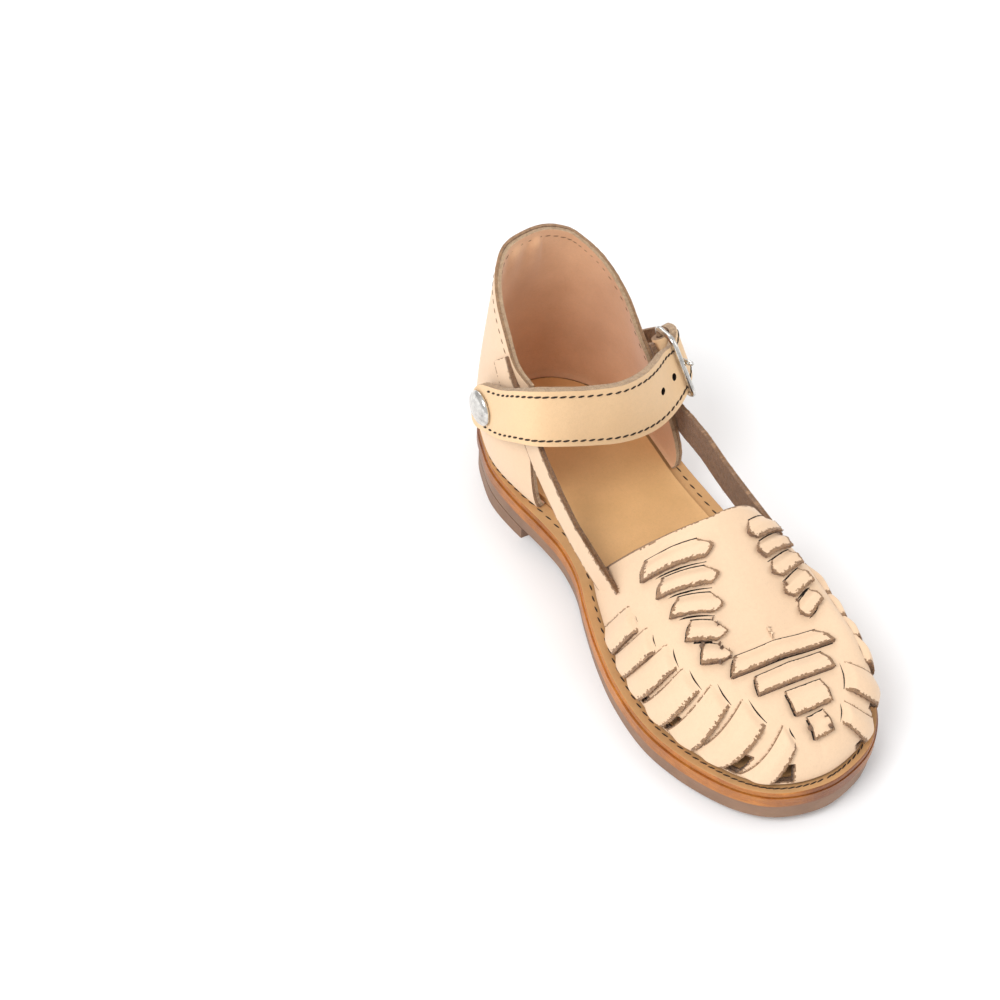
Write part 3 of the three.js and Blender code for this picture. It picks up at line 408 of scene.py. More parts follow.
def grid(bm, rows, cols, place, rough=0.0, wrap=False, raw=None, open_at=None):
    """A sheet laid out by place(a, b, lift), its border uneven by rough, raw shares of it bare.

    Where open_at(a, b, margin) holds the sheet is left open, and bare just beside that."""
    made = bmesh.ops.create_grid(bm, x_segments=rows, y_segments=cols, size=0.5)["verts"]
    ab = {v: (v.co.x + 0.5, v.co.y + 0.5) for v in made}
    middle = at(place(0.5, 0.5, 0))
    out = at(place(0.5, 0.5, 1)) - middle
    for v in made:
        a, b = ab[v]
        v.co = at(place(a, b, 0))
        if rough and v.is_boundary:
            drift = noise.noise(v.co * 900) + 0.6 * noise.noise(v.co * 2600)
            v.co += (middle - v.co).normalized() * drift * rough * MM
    faces = list({f for v in made for f in v.link_faces})
    bmesh.ops.recalc_face_normals(bm, faces=faces)
    near = min(faces, key=lambda f: (f.calc_center_median() - middle).length)
    near.normal_update()
    if near.normal.dot(out) < 0:
        bmesh.ops.reverse_faces(bm, faces=faces)
    gone = []
    for f in faces:
        f.smooth = True
        a, b = (sum(ab[v][k] for v in f.verts) / len(f.verts) for k in (0, 1))
        wave = 1 + 0.8 * noise.noise(f.calc_center_median() * 1500)
        if raw and (a < raw[0] * wave or a > 1 - raw[1] * wave or b < raw[2] * wave or b > 1 - raw[3] * wave):
            f.material_index = 1
        if open_at:
            if open_at(a, b, 0):
                gone.append(f)
            elif open_at(a, b, 0.006 * wave):
                f.material_index = 1
    bmesh.ops.delete(bm, geom=gone, context="FACES")
    if wrap:
        left = [v for v in made if v.is_valid]
        bmesh.ops.remove_doubles(bm, verts=left, dist=0.02 * MM)
    return faces


def piece(name, bm, materials, replaced=()):
    """Turns a bmesh into a named piece of the shoe."""
    mesh = bpy.data.meshes.new(name)
    bm.to_mesh(mesh)
    bm.free()
    obj = bpy.data.objects.new(name, mesh)
    bpy.context.scene.collection.objects.link(obj)
    for material in materials:
        mesh.materials.append(material)
    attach(obj, "root")
    if replaced:
        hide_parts(*replaced)
    return obj


def thicken(obj, thick, edge=0.25, rim=1, inner=2, segments=2):
    """Leather thickness under the sheet, with softened edges."""
    solid = obj.modifiers.new("thickness", "SOLIDIFY")
    solid.thickness = thick * MM
    solid.offset = -1
    solid.use_even_offset = False
    solid.material_offset_rim = rim
    solid.material_offset = inner
    if edge:
        bevel = obj.modifiers.new("edge", "BEVEL")
        bevel.width = edge * MM
        bevel.segments = segments
        bevel.limit_method = "ANGLE"
        bevel.angle_limit = math.radians(50)
        bevel.harden_normals = True
    return obj


def stitches(bm, path, length, pitch, out, size=(0.9, 0.34, 0.22), dip=0.0):
    """Thread stitches along path(t) for t from 0 to 1, out(t) square to the leather."""
    count = max(int(round(length / pitch)), 2)
    for i in range(count):
        t = (i + 0.5) / count
        here = at(path(t))
        ahead = (at(path(min(t + 0.2 / count, 1))) - at(path(max(t - 0.2 / count, 0)))).normalized()
        normal = out(t).normalized()
        aside = normal.cross(ahead).normalized()
        turn = Matrix((ahead, aside, normal)).transposed().to_4x4()
        turn.translation = here - normal * dip * MM
        made = bmesh.ops.create_uvsphere(bm, u_segments=8, v_segments=6, radius=MM)["verts"]
        scale = Matrix.Diagonal((size[0], size[1], size[2], 1))
        lean = Matrix.Rotation(0.16, 4, "Z")
        bmesh.ops.transform(bm, matrix=turn @ lean @ scale, verts=made)
        for v in made:
            for f in v.link_faces:
                f.smooth = True


def path_out(surface):
    """Outward direction along a line on a surface given as surface(t, lift)."""
    return lambda t: at(surface(t, 1)) - at(surface(t, 0))


def run_of(path, steps=60):
    points = [path(i / steps) for i in range(steps + 1)]
    return sum((b - a).length for a, b in zip(points, points[1:]))


def fibres(bm, path, out, side_of, count, length, lift, seed, wide=0.085):
    """Loose leather fibres standing off a cut edge along path(t)."""
    rng = random.Random(seed)
    for _ in range(count):
        t = rng.random()
        root = at(path(t)) + Vector([rng.uniform(-0.12, 0.12) * MM for _ in range(3)])
        normal = out(t).normalized()
        aside = side_of(t).normalized()
        ahead = normal.cross(aside)
        lean = aside * rng.uniform(0.2, 1.0) + normal * rng.uniform(-0.2, lift) + ahead * rng.uniform(-0.9, 0.9)
        lean = lean.normalized() * length * rng.uniform(0.35, 1.0) * MM
        width = wide * rng.uniform(0.6, 1.3) * MM
        bend = normal * rng.uniform(-0.3, 0.3) * length * MM
        middle = root + lean * 0.5 + bend * 0.4
        tip = root + lean + bend * 0.2
        spread = (normal * 0.8 + ahead * 0.6).normalized()
        across = lean.normalized().cross(spread).normalized()
        ring = [root + (across * x + spread * y) * width for x, y in ((1, 0), (-0.5, 1), (-0.5, -1))]
        mids = [middle + (p - root) * 0.8 for p in ring]
        low = [bm.verts.new(p) for p in ring]
        mid = [bm.verts.new(p) for p in mids]
        end = bm.verts.new(tip)
        for k in range(3):
            n = (k + 1) % 3
            bm.faces.new((low[k], low[n], mid[n], mid[k]))
            bm.faces.new((mid[k], mid[n], end))
        bm.faces.new(low[::-1])


# ---------------------------------------------------------------- materials
def linear(colour):
    return tuple((c / 12.92 if c <= 0.04045 else ((c + 0.055) / 1.055) ** 2.4) for c in colour) + (1.0,)


def nodes_of(name):
    material = bpy.data.materials.new(name)
    material.use_nodes = True
    tree = material.node_tree
    shader = tree.nodes["Principled BSDF"]
    return material, tree, shader


def add(tree, kind, **values):
    node = tree.nodes.new(kind)
    for key, value in values.items():
        if key in node.inputs:
            node.inputs[key].default_value = value
        else:
            setattr(node, key, value)
    return node


def mixed(tree, fac, a, b, mode="MIX"):
    """Colour mix whose factor may be a socket or a number."""
    node = tree.nodes.new("ShaderNodeMix")
    node.data_type = "RGBA"
    node.blend_type = mode
    for socket, value in ((node.inputs[0], fac), (node.inputs[6], a), (node.inputs[7], b)):
        if isinstance(value, bpy.types.NodeSocket):
            tree.links.new(value, socket)
        else:
            socket.default_value = value
    return node.outputs[2]


def ramp(tree, source, low, high, colours=((0, 0, 0, 1), (1, 1, 1, 1))):
    node = tree.nodes.new("ShaderNodeValToRGB")
    node.color_ramp.elements[0].position = low
    node.color_ramp.elements[1].position = high
    node.color_ramp.elements[0].color = colours[0]
    node.color_ramp.elements[1].color = colours[1]
    tree.links.new(source, node.inputs[0])
    return node.outputs[0]


def noise_at(tree, coords, scale, detail=3.0, rough=0.55, stretch=None):
    source = coords
    if stretch:
        mapping = add(tree, "ShaderNodeMapping")
        mapping.inputs["Scale"].default_value = stretch
        tree.links.new(coords, mapping.inputs["Vector"])
        source = mapping.outputs[0]
    node = add(tree, "ShaderNodeTexNoise", Scale=scale, Detail=detail, Roughness=rough)
    tree.links.new(source, node.inputs["Vector"])
    return node.outputs[0]


def bump(tree, height, strength, distance, normal=None):
    node = add(tree, "ShaderNodeBump", Strength=strength, Distance=distance * MM)
    tree.links.new(height, node.inputs["Height"])
    if normal is not None:
        tree.links.new(normal, node.inputs["Normal"])
    return node.outputs[0]


def leather(name, colour, shade, roughness=0.6, grain=0.35, mottle=0.35, sheen=0.15, fuzz=0.0):
    """Grain leather: cloudy colour, fine pores and soft wrinkles."""
    material, tree, shader = nodes_of(name)
    coords = tree.nodes.new("ShaderNodeTexCoord").outputs["Object"]
    clouds = ramp(tree, noise_at(tree, coords, 60, 4), 0.35, 0.7)
    fine = ramp(tree, noise_at(tree, coords, 900, 3), 0.35, 0.75)
    speck = ramp(tree, noise_at(tree, coords, 2600, 2), 0.55, 0.72)
    factor = add(tree, "ShaderNodeMath", operation="MULTIPLY")
    factor.inputs[1].default_value = mottle
    tree.links.new(clouds, factor.inputs[0])
    base = mixed(tree, factor.outputs[0], linear(colour), linear(shade))
    light = tuple(min(c * 1.03, 1) for c in colour)
    dark = tuple(c * 0.93 for c in colour)
    base = mixed(tree, 0.2, base, mixed(tree, fine, linear(dark), linear(light)))
    speckled = add(tree, "ShaderNodeMath", operation="MULTIPLY")
    speckled.inputs[1].default_value = 0.14
    tree.links.new(speck, speckled.inputs[0])
    base = mixed(tree, speckled.outputs[0], base, linear(tuple(c * 0.82 for c in shade)))
    tree.links.new(base, shader.inputs["Base Color"])
    rough = add(tree, "ShaderNodeMapRange")
    rough.inputs["To Min"].default_value = roughness - 0.06
    rough.inputs["To Max"].default_value = roughness + 0.1
    tree.links.new(fine, rough.inputs["Value"])
    tree.links.new(rough.outputs[0], shader.inputs["Roughness"])
    pores = add(tree, "ShaderNodeTexVoronoi", Scale=1400.0)
    tree.links.new(coords, pores.inputs["Vector"])
    first = bump(tree, pores.outputs["Distance"], grain, 0.12)
    second = bump(tree, noise_at(tree, coords, 330, 4), grain * 0.9, 0.25, first)
    if fuzz:
        second = bump(tree, noise_at(tree, coords, 2400, 4, 0.75), fuzz, 0.3, second)
    tree.links.new(second, shader.inputs["Normal"])
    shader.inputs["Specular IOR Level"].default_value = 0.35
    shader.inputs["Sheen Weight"].default_value = sheen
    shader.inputs["Sheen Roughness"].default_value = 0.5
    return material


def raw_edge(name, colour, dark, light):
    """Cut edge or flesh side: matt, fibrous, streaked brown."""
    material, tree, shader = nodes_of(name)
    coords = tree.nodes.new("ShaderNodeTexCoord").outputs["Object"]
    coarse = ramp(tree, noise_at(tree, coords, 700, 5, 0.7), 0.32, 0.68)
    fine = ramp(tree, noise_at(tree, coords, 3200, 4, 0.8), 0.35, 0.65)
    base = mixed(tree, coarse, linear(dark), linear(colour))
    base = mixed(tree, fine, base, mixed(tree, 0.5, base, linear(light)))
    tree.links.new(base, shader.inputs["Base Color"])
    shader.inputs["Roughness"].default_value = 0.92
    shader.inputs["Specular IOR Level"].default_value = 0.15
    shader.inputs["Sheen Weight"].default_value = 0.3
    first = bump(tree, fine, 0.8, 0.3)
    tree.links.new(bump(tree, coarse, 0.7, 0.5, first), shader.inputs["Normal"])
    return material


def stained_edge(name, top, middle, low):
    """Burnished leather edge: orange stain with darker runs and streaks along the edge."""
    material, tree, shader = nodes_of(name)
    coords = tree.nodes.new("ShaderNodeTexCoord").outputs["Object"]
    streak = ramp(tree, noise_at(tree, coords, 120, 5, 0.6, (1, 1, 9)), 0.3, 0.7)
    clouds = ramp(tree, noise_at(tree, coords, 38, 4, 0.6), 0.4, 0.66)
    fine = ramp(tree, noise_at(tree, coords, 1500, 3, 0.7, (1, 1, 3)), 0.4, 0.7)
    base = mixed(tree, streak, linear(middle), linear(top))
    base = mixed(tree, clouds, base, linear(low))
    base = mixed(tree, 0.25, base, mixed(tree, fine, linear(low), linear(top)))
    tree.links.new(base, shader.inputs["Base Color"])
    shader.inputs["Roughness"].default_value = 0.42
    shader.inputs["Coat Weight"].default_value = 0.15
    shader.inputs["Coat Roughness"].default_value = 0.35
    first = bump(tree, fine, 0.3, 0.1)
    tree.links.new(bump(tree, streak, 0.35, 0.25, first), shader.inputs["Normal"])
    return material


def rubber(name, colour, dark):
    material, tree, shader = nodes_of(name)
    coords = tree.nodes.new("ShaderNodeTexCoord").outputs["Object"]
    clouds = ramp(tree, noise_at(tree, coords, 55, 4, 0.6), 0.35, 0.7)
    lines = ramp(tree, noise_at(tree, coords, 500, 3, 0.6, (1, 1, 6)), 0.4, 0.7)
    base = mixed(tree, clouds, linear(colour), linear(dark))
    base = mixed(tree, 0.2, base, mixed(tree, lines, linear(dark), linear(colour)))
    tree.links.new(base, shader.inputs["Base Color"])
    shader.inputs["Roughness"].default_value = 0.5
    shader.inputs["Subsurface Weight"].default_value = 0.12
    shader.inputs["Subsurface Radius"].default_value = (0.004, 0.002, 0.001)
    first = bump(tree, lines, 0.3, 0.12)
    tree.links.new(bump(tree, noise_at(tree, coords, 1800, 3), 0.2, 0.08, first), shader.inputs["Normal"])
    return material


def metal(name):
    material, tree, shader = nodes_of(name)
    coords = tree.nodes.new("ShaderNodeTexCoord").outputs["Object"]
    marks = ramp(tree, noise_at(tree, coords, 420, 5, 0.7), 0.4, 0.72)
    tree.links.new(mixed(tree, marks, linear((0.88, 0.87, 0.85)), linear((0.66, 0.65, 0.64))), shader.inputs["Base Color"])
    rough = add(tree, "ShaderNodeMapRange")
    rough.inputs["To Min"].default_value = 0.12
    rough.inputs["To Max"].default_value = 0.3
    tree.links.new(marks, rough.inputs["Value"])
    tree.links.new(rough.outputs[0], shader.inputs["Roughness"])
    shader.inputs["Metallic"].default_value = 1.0
    tree.links.new(bump(tree, noise_at(tree, coords, 900, 3), 0.08, 0.05), shader.inputs["Normal"])
    return material


def plain(name, colour, roughness=0.8, fuzz=0.4):
    material, tree, shader = nodes_of(name)
    coords = tree.nodes.new("ShaderNodeTexCoord").outputs["Object"]
    twist = ramp(tree, noise_at(tree, coords, 2600, 3), 0.35, 0.7)
    dark = tuple(c * 0.72 for c in colour)
    tree.links.new(mixed(tree, twist, linear(dark), linear(colour)), shader.inputs["Base Color"])
    shader.inputs["Roughness"].default_value = roughness
    tree.links.new(bump(tree, twist, fuzz, 0.1), shader.inputs["Normal"])
    return material


MATERIALS = {}


def make_materials(colours):
    cream = tuple(colours.leather)
    strap = tuple(colours.strap)
    MATERIALS.update(
        cream=leather("upper_leather", cream, tuple(c * f for c, f in zip(cream, (0.955, 0.93, 0.89)))),
        strap=leather("strap_leather", strap, tuple(c * f for c, f in zip(strap, (0.96, 0.93, 0.88))), 0.55, 0.3),
        edge=raw_edge("cut_edge", (0.76, 0.57, 0.41), (0.5, 0.34, 0.22), (0.88, 0.73, 0.57)),
        flesh=raw_edge("flesh_side", (0.64, 0.47, 0.34), (0.42, 0.29, 0.2), (0.78, 0.62, 0.48)),
        pale=raw_edge("pale_edge", (0.86, 0.72, 0.56), (0.68, 0.52, 0.38), (0.95, 0.84, 0.7)),
        lining=leather("lining_leather", tuple(colours.lining), (0.76, 0.55, 0.4), 0.75, 0.3, 0.5, 0.4, 0.25),
        insole=leather("insole_leather", tuple(colours.insole), (0.8, 0.62, 0.4), 0.5, 0.25, 0.5, 0.0),
        welt=leather("welt_leather", (0.78, 0.6, 0.4), (0.66, 0.47, 0.3), 0.65, 0.35, 0.6),
        midsole=stained_edge("midsole_leather", (0.85, 0.56, 0.24), (0.7, 0.38, 0.13), (0.46, 0.25, 0.12)),
        outsole=rubber("outsole_rubber", (0.6, 0.46, 0.36), (0.48, 0.36, 0.28)),
        metal=metal("polished_metal"),
        thread=plain("thread", (0.2, 0.13, 0.08)),
        tan_thread=plain("tan_thread", (0.55, 0.4, 0.28)),
        fibre=plain("fibre", (0.74, 0.57, 0.42), 0.95),
        pale_fibre=plain("pale_fibre", (0.82, 0.68, 0.53), 0.95),
        # dark is slot_shadow: painted shadow, laid in the slits of the weave and on the walls of the strap holes
        dark=plain("slot_shadow", (0.13, 0.08, 0.05), 0.95),
    )


# ---------------------------------------------------------------- sizes and colours
class SandalSizes(bpy.types.PropertyGroup):
    strip_rise: bpy.props.FloatProperty(
        name="Strip rise", description="How far the woven strips stand over the panel, in mm",
        default=1.5, min=0.2, max=3)
    strip_thick: bpy.props.FloatProperty(
        name="Strip thickness", description="Thickness of a woven strip, in mm", default=1.35, min=0.2, max=3)
    stitch_pitch: bpy.props.FloatProperty(
        name="Stitch pitch", description="Length of one stitch with its gap, in mm", default=2.6, min=1, max=8)
    fringe_length: bpy.props.FloatProperty(
        name="Fringe length", description="Length of the loose fibres on cut edges, in mm", default=0.9, min=0, max=4)


class SandalColours(bpy.types.PropertyGroup):
    leather: bpy.props.FloatVectorProperty(
        name="Leather", description="Smooth side of the upper leather", subtype="COLOR",
        default=(0.915, 0.79, 0.66), min=0, max=1)
    strap: bpy.props.FloatVectorProperty(
        name="Strap", description="Smooth side of the ankle strap", subtype="COLOR",
        default=(0.93, 0.785, 0.61), min=0, max=1)
    lining: bpy.props.FloatVectorProperty(
        name="Lining", description="Lining of the back", subtype="COLOR",
        default=(0.9, 0.71, 0.55), min=0, max=1)
    insole: bpy.props.FloatVectorProperty(
        name="Insole", description="Footbed leather", subtype="COLOR",
        default=(0.9, 0.71, 0.49), min=0, max=1)


# ---------------------------------------------------------------- sole
def plate(bm, inset_top, inset_low, top, low, start=0.0, end=math.pi, edge=0.35, rows=120):
    """A closed plate of the sole between two heights, its outline inset above and below."""
    def place(a, b, lift):
        angle = start + (end - start) * a
        inset = inset_top(share_of(angle))
        left, right = inset_point(-1, angle, inset), inset_point(1, angle, inset)
        flat = left.lerp(right, b)
        return Vector((flat.x, flat.y, top(flat.y) + lift))

    faces = grid(bm, rows, 14, place)
    verts = list({v for f in faces for v in f.verts})
    bmesh.ops.remove_doubles(bm, verts=verts, dist=0.05 * MM)
    faces = [f for f in bm.faces if f.is_valid and f.calc_area() > 0]
    made = bmesh.ops.extrude_face_region(bm, geom=faces)["geom"]
    lower = [g for g in made if isinstance(g, bmesh.types.BMVert)]
    for v in lower:
        y = v.co.y / MM - SHIFT.y / MM
        v.co.z = low(y) * MM
    side = low_side = None
    if inset_low is not None:
        for v in lower:
            p = v.co.to_2d() / MM - SHIFT.to_2d() / MM
            if v.is_boundary or any(len(e.link_faces) == 2 and abs(e.calc_face_angle(0)) > 0.7 for e in v.link_edges):
                u = 0.5 - p.y / SOLE_LENGTH
                centre = Vector((0, p.y))
                pull = (centre - p)
                if pull.length > 1e-6:
                    p = p + pull.normalized() * inset_low
                v.co.x, v.co.y = (p.x + SHIFT.x / MM) * MM, (p.y + SHIFT.y / MM) * MM
    bmesh.ops.recalc_face_normals(bm, faces=bm.faces)
    for f in bm.faces:
        f.smooth = True


def round_edges(obj, width, segments=3, angle=35):
    bevel = obj.modifiers.new("edge", "BEVEL")
    bevel.width = width * MM
    bevel.segments = segments
    bevel.limit_method = "ANGLE"
    bevel.angle_limit = math.radians(angle)
    bevel.harden_normals = True
    return obj


FLOOR_OF = WELT_THICK + SEAM_GAP + MIDSOLE_THICK + SEAM_GAP


def below(depth):
    return lambda y: welt_top(y) - depth


class SANDAL_OT_sole(bpy.types.Operator):
    bl_idname = "sandal.sole"
    bl_label = "Sole"
    bl_options = {"REGISTER", "UNDO"}
    __doc__ = "Outsole, heel lift, midsole, welt and insole"

    def execute(self, context):
        m = MATERIALS
        bm = bmesh.new()
        plate(bm, lambda u: 0.35, 0.5, below(FLOOR_OF), below(FLOOR_OF + OUTSOLE_THICK))
        round_edges(piece("outsole_body", bm, [m["outsole"]], ["outsole"]), 0.6)
        bm = bmesh.new()
        breast = angle_of(LIFT_LENGTH / SOLE_LENGTH)
        plate(bm, lambda u: 0.8, None, below(FLOOR_OF + OUTSOLE_THICK + SEAM_GAP), lambda y: 0.0, 0, breast, rows=60)
        round_edges(piece("heel_lift_body", bm, [m["outsole"]], ["heel_lift"]), 0.45)
        bm = bmesh.new()
        plate(bm, lambda u: 0.0, None, below(WELT_THICK + SEAM_GAP / 2), below(FLOOR_OF - SEAM_GAP / 2))
        round_edges(piece("midsole_body", bm, [m["midsole"]], ["midsole"]), 0.55)

        bm = bmesh.new()

        def rim(a, b, lift):
            turn = 2 * a
            side, angle = (-1, math.pi * turn) if turn <= 1 else (1, math.pi * (2 - turn))
            u = share_of(angle)
            inset = 0.45 + (welt_show(u) + WALL + 0.4 - 0.45) * b
            p = inset_point(side, angle, inset)
            return Vector((p.x, p.y, welt_top(p.y) + lift))

        grid(bm, 280, 6, rim, wrap=True)
        welt = piece("welt_rim", bm, [m["welt"], m["midsole"], m["welt"]], ["welt"])
        thicken(welt, WELT_THICK, 0.45, segments=3)

        bm = bmesh.new()
        plate(bm, lambda u: welt_show(u) + WALL + 0.55, None,
              below(WELT_THICK - INSOLE_THICK), below(WELT_THICK - 0.1))
        round_edges(piece("insole_board", bm, [m["insole"]], ["insole"]), 0.6)
        return {"FINISHED"}


# ---------------------------------------------------------------- vamp
def panel_place(a, b, lift):
    """Over the whole vamp: a from the throat to the toe, b from the medial to the lateral foot."""
    side = -1 if b < 0.5 else 1
    return vamp_point(side, a, 0.03 + 0.97 * (1 - abs(2 * b - 1)), lift)


def block_lattice(block, rows=4, cols=2):
    """Vamp places under a block, from its six corners."""
    lattice = []
    for i in range(rows + 1):
        line = []
        for j in range(cols + 1):
            a, b = i / rows, j / cols

            def ends(first):
                r, c, f = block[first], block[first + 1], block[first + 2]
                w = ((1 - b) * (1 - 2 * b), 4 * b * (1 - b), b * (2 * b - 1))
                return [w[0] * r[k] + w[1] * c[k] + w[2] * f[k] for k in (0, 1)]

            outer, inner = ends(0), ends(3)
            line.append(vamp_over(*[outer[k] + (inner[k] - outer[k]) * a for k in (0, 1)]))
        lattice.append(line)
    return lattice


def on_lattice(lattice, a, b, lift):
    rows, cols = len(lattice) - 1, len(lattice[0]) - 1
    i, j = min(int(a * rows), rows - 1), min(int(b * cols), cols - 1)
    x, y = a * rows - i, b * cols - j

    def corner(di, dj):
        return vamp_point(*lattice[i + di][j + dj], lift)

    return (corner(0, 0) * (1 - x) + corner(1, 0) * x) * (1 - y) + (corner(0, 1) * (1 - x) + corner(1, 1) * x) * y


def smooth_lattice(points):
    """Rows of points turned into a smooth surface function of a and b."""
    rows, cols = len(points) - 1, len(points[0]) - 1
    tables = [[[(j / cols, *points[i][j]) for j in range(cols + 1)] for i in range(rows + 1)]]

    def place(a, b):
        line = []
        for i in range(rows + 1):
            row = tables[0][i]
            line.append((i / rows, *[column(row, 0, k, b) for k in (1, 2, 3)]))
        return Vector([column(line, 0, k, a) for k in (1, 2, 3)])

    return place


def block_place(block, rise, tuck, crown=0.12):
    """Surface of a raised block: its rear edge is tucked low, its front edge stands up."""
    lattice = block_lattice(block)
    levels = {}
    for lift in (0.0, 1.0):
        levels[lift] = smooth_lattice([[tuple(vamp_point(*p, lift)) for p in line] for line in lattice])

    def place(a, b, lift):
        height = tuck + (rise - tuck) * smooth(b / 0.55) + crown * math.sin(math.pi * a) + lift
        low, high = levels[0.0](a, b), levels[1.0](a, b)
        return low + (high - low) * height

    return place


def strip_place(side, strip, rise):
    rear_foot, front_foot, rear_head, front_head, v_rear, v_front = strip
    rear_foot, rear_head = rear_foot - 0.004, rear_head - 0.006
    front_foot, front_head = front_foot + 0.006, min(front_head + 0.016, 1)
    low = 0.03

    def place(a, b, lift):
        foot = rear_foot + (front_foot - rear_foot) * b
        head = rear_head + (front_head - rear_head) * b
        top = v_rear + (v_front - v_rear) * b
        s = foot + (head - foot) * a
        v = low + (top - low) * a
        up = smooth(a / 0.12) * (1 - 0.75 * smooth((a - 0.9) / 0.1))
        height = -0.5 + (rise * (0.45 + 0.55 * smooth(b / 0.6)) + 0.5) * up
        height += 0.55 * (math.sin(math.pi * b) - 0.5) * up + lift
        return vamp_point(side, s, v, height)

    return place


def open_panel(a, b, margin):
    """Whether a place of the panel lies in an opening between the fan strips."""
    side = -1 if b < 0.5 else 1
    v = 0.03 + 0.97 * (1 - abs(2 * b - 1))
    for at_side, rear_foot, front_foot, rear_head, front_head, low, high in OPENINGS:
        t = (v - low) / (high - low)
        if at_side == side and -4 * margin <= t <= 1 + 4 * margin:
            t = min(max(t, 0), 1)
            rear = rear_foot + (rear_head - rear_foot) * t
            front = front_foot + (front_head - front_foot) * t
            if rear - margin <= a <= front + margin:
                return True
    return False


class SANDAL_OT_vamp(bpy.types.Operator):
    bl_idname = "sandal.vamp"
    bl_label = "Vamp"
    bl_options = {"REGISTER", "UNDO"}
    __doc__ = "Smooth panel of the vamp and the layer under it, open between the strips"

    def execute(self, context):
        m = MATERIALS
        bm = bmesh.new()
        grid(bm, 220, 180, panel_place, wrap=True, raw=(0.006, 0, 0, 0), open_at=open_panel)
        panel = piece("vamp_panel", bm, [m["cream"], m["edge"], m["flesh"]], ["upper"])
        thicken(panel, 0.8, 0, inner=0)

        bm = bmesh.new()
        grid(bm, 220, 160, lambda a, b, lift: panel_place(a, b, lift - 1.2), wrap=True, open_at=open_panel)
        layer = piece("vamp_lining", bm, [m["flesh"], m["flesh"], m["flesh"]], ["upper"])
        thicken(layer, 0.95, 0)
        return {"FINISHED"}


def shadow_ribbon(bm, path, wide, out):
    """A narrow dark ribbon lying along path(t)."""
    def place(a, b, lift):
        here = path(a)
        ahead = path(min(a + 0.02, 1)) - path(max(a - 0.02, 0))
        normal = out(a).normalized()
        return here + ahead.cross(normal).normalized() * (b - 0.5) * wide + normal * lift

    grid(bm, 16, 2, place, rough=0.12)


def edge_of(place, a=None, b=None, lift=0.0):
    """A border of a piece: its path, its outward direction and the direction off the piece."""
    inner = 0.12

    def both(t):
        return (a, t) if b is None else (t, b)

    def back(t):
        x, y = both(t)
        return (x + (inner if x < 0.5 else -inner), y) if b is None else (x, y + (inner if y < 0.5 else -inner))

    def path(t):
        return place(*both(t), lift)

    def out(t):
        return place(*both(t), 1.0) - place(*both(t), 0.0)

    def off(t):
        return place(*both(t), 0.0) - place(*back(t), 0.0)

    return path, out, off


class SANDAL_OT_weave(bpy.types.Operator):
    bl_idname = "sandal.weave"
    bl_label = "Weave"
    bl_options = {"REGISTER", "UNDO"}
    __doc__ = "Chevron blocks, cross bands and fan strips of the vamp"

    def execute(self, context):
        m = MATERIALS
        sizes = context.scene.sandal_sizes
        rise, thick = sizes.strip_rise, sizes.strip_thick
        leathers = [m["cream"], m["edge"], m["flesh"]]
        # the second bmesh gathers dark ribbons: painted shadow along the slits where the blocks and strips meet the
        # panel
        fuzz, slit_shadows = bmesh.new(), bmesh.new()
        seed = 0

        def fringe(place, sides, density=5.0, length=0.6):
            nonlocal seed
            for a, b in sides:
                seed += 1
                path, out, off = edge_of(place, a, b, -0.2)
                count = int(run_of(path, 12) * density)
                fibres(fuzz, path, out, off, count, length * sizes.fringe_length, 0.7, seed)

        for side, name in ((-1, "medial"), (1, "lateral")):
            bm = bmesh.new()
            for block in CHEVRONS[side]:
                place = block_place(block, rise + 0.2, 0.15)
                grid(bm, 40, 24, place, rough=0.35, raw=(0.06, 0.05, 0, 0.15))
                fringe(place, ((0.0, None), (1.0, None), (None, 1.0)))
                path, out, off = edge_of(place, None, 1.0, -rise - 0.25)
                shadow_ribbon(slit_shadows, lambda t: path(t) + off(t).normalized() * 0.25, 0.6, out)
                path2, out2, off2 = edge_of(place, 0.0, None, -0.5)
                shadow_ribbon(slit_shadows, lambda t: path2(t) + off2(t).normalized() * 0.3, 0.6, out2)
                path3, out3, off3 = edge_of(place, None, 0.0, 0.0)
                shadow_ribbon(slit_shadows, lambda t: path3(t) + off3(t).normalized() * 0.08, 0.36, out3)
            thicken(piece(f"chevrons_{name}", bm, leathers, ["upper"]), thick, 0.14)
            bm = bmesh.new()
            for strip in FAN[side]:
                place = strip_place(side, strip, rise)
                grid(bm, 60, 26, place, rough=0.3, raw=(0, 0, 0.03, 0.1))
                fringe(place, ((None, 0.0), (None, 1.0)))
                path, out, off = edge_of(place, 1.0, None, 0.1)
                shadow_ribbon(slit_shadows, lambda t: path(t) + off(t).normalized() * 0.3, 0.6, out)
            thicken(piece(f"fan_strips_{name}", bm, leathers, ["upper"]), thick, 0.16)
        bm = bmesh.new()
        for band in BANDS:
            place = block_place(band, rise + 0.1, 0.35)
            grid(bm, 60, 20, place, rough=0.3, raw=(0.03, 0.035, 0, 0.12))
            fringe(place, ((0.0, None), (1.0, None), (None, 1.0)))
            path, out, off = edge_of(place, None, 1.0, -rise)
            shadow_ribbon(slit_shadows, lambda t: path(t) + off(t).normalized() * 0.2, 0.6, out)
            path3, out3, off3 = edge_of(place, None, 0.0, 0.0)
            shadow_ribbon(slit_shadows, lambda t: path3(t) + off3(t).normalized() * 0.08, 0.36, out3)
            for end in (0.0, 1.0):
                path2, out2, off2 = edge_of(place, end, None, -0.45)
                shadow_ribbon(slit_shadows, lambda t: path2(t) + off2(t).normalized() * 0.25, 0.55, out2)
        thicken(piece("cross_bands", bm, leathers, ["upper"]), thick, 0.14)
        piece("weave_fringe", fuzz, [m["fibre"]])
        # the slit ribbons take the dark slot_shadow material as painted shadow
        thicken(piece("weave_slit_shadows", slit_shadows, [m["dark"], m["dark"], m["dark"]]), 0.12, 0)
        return {"FINISHED"}


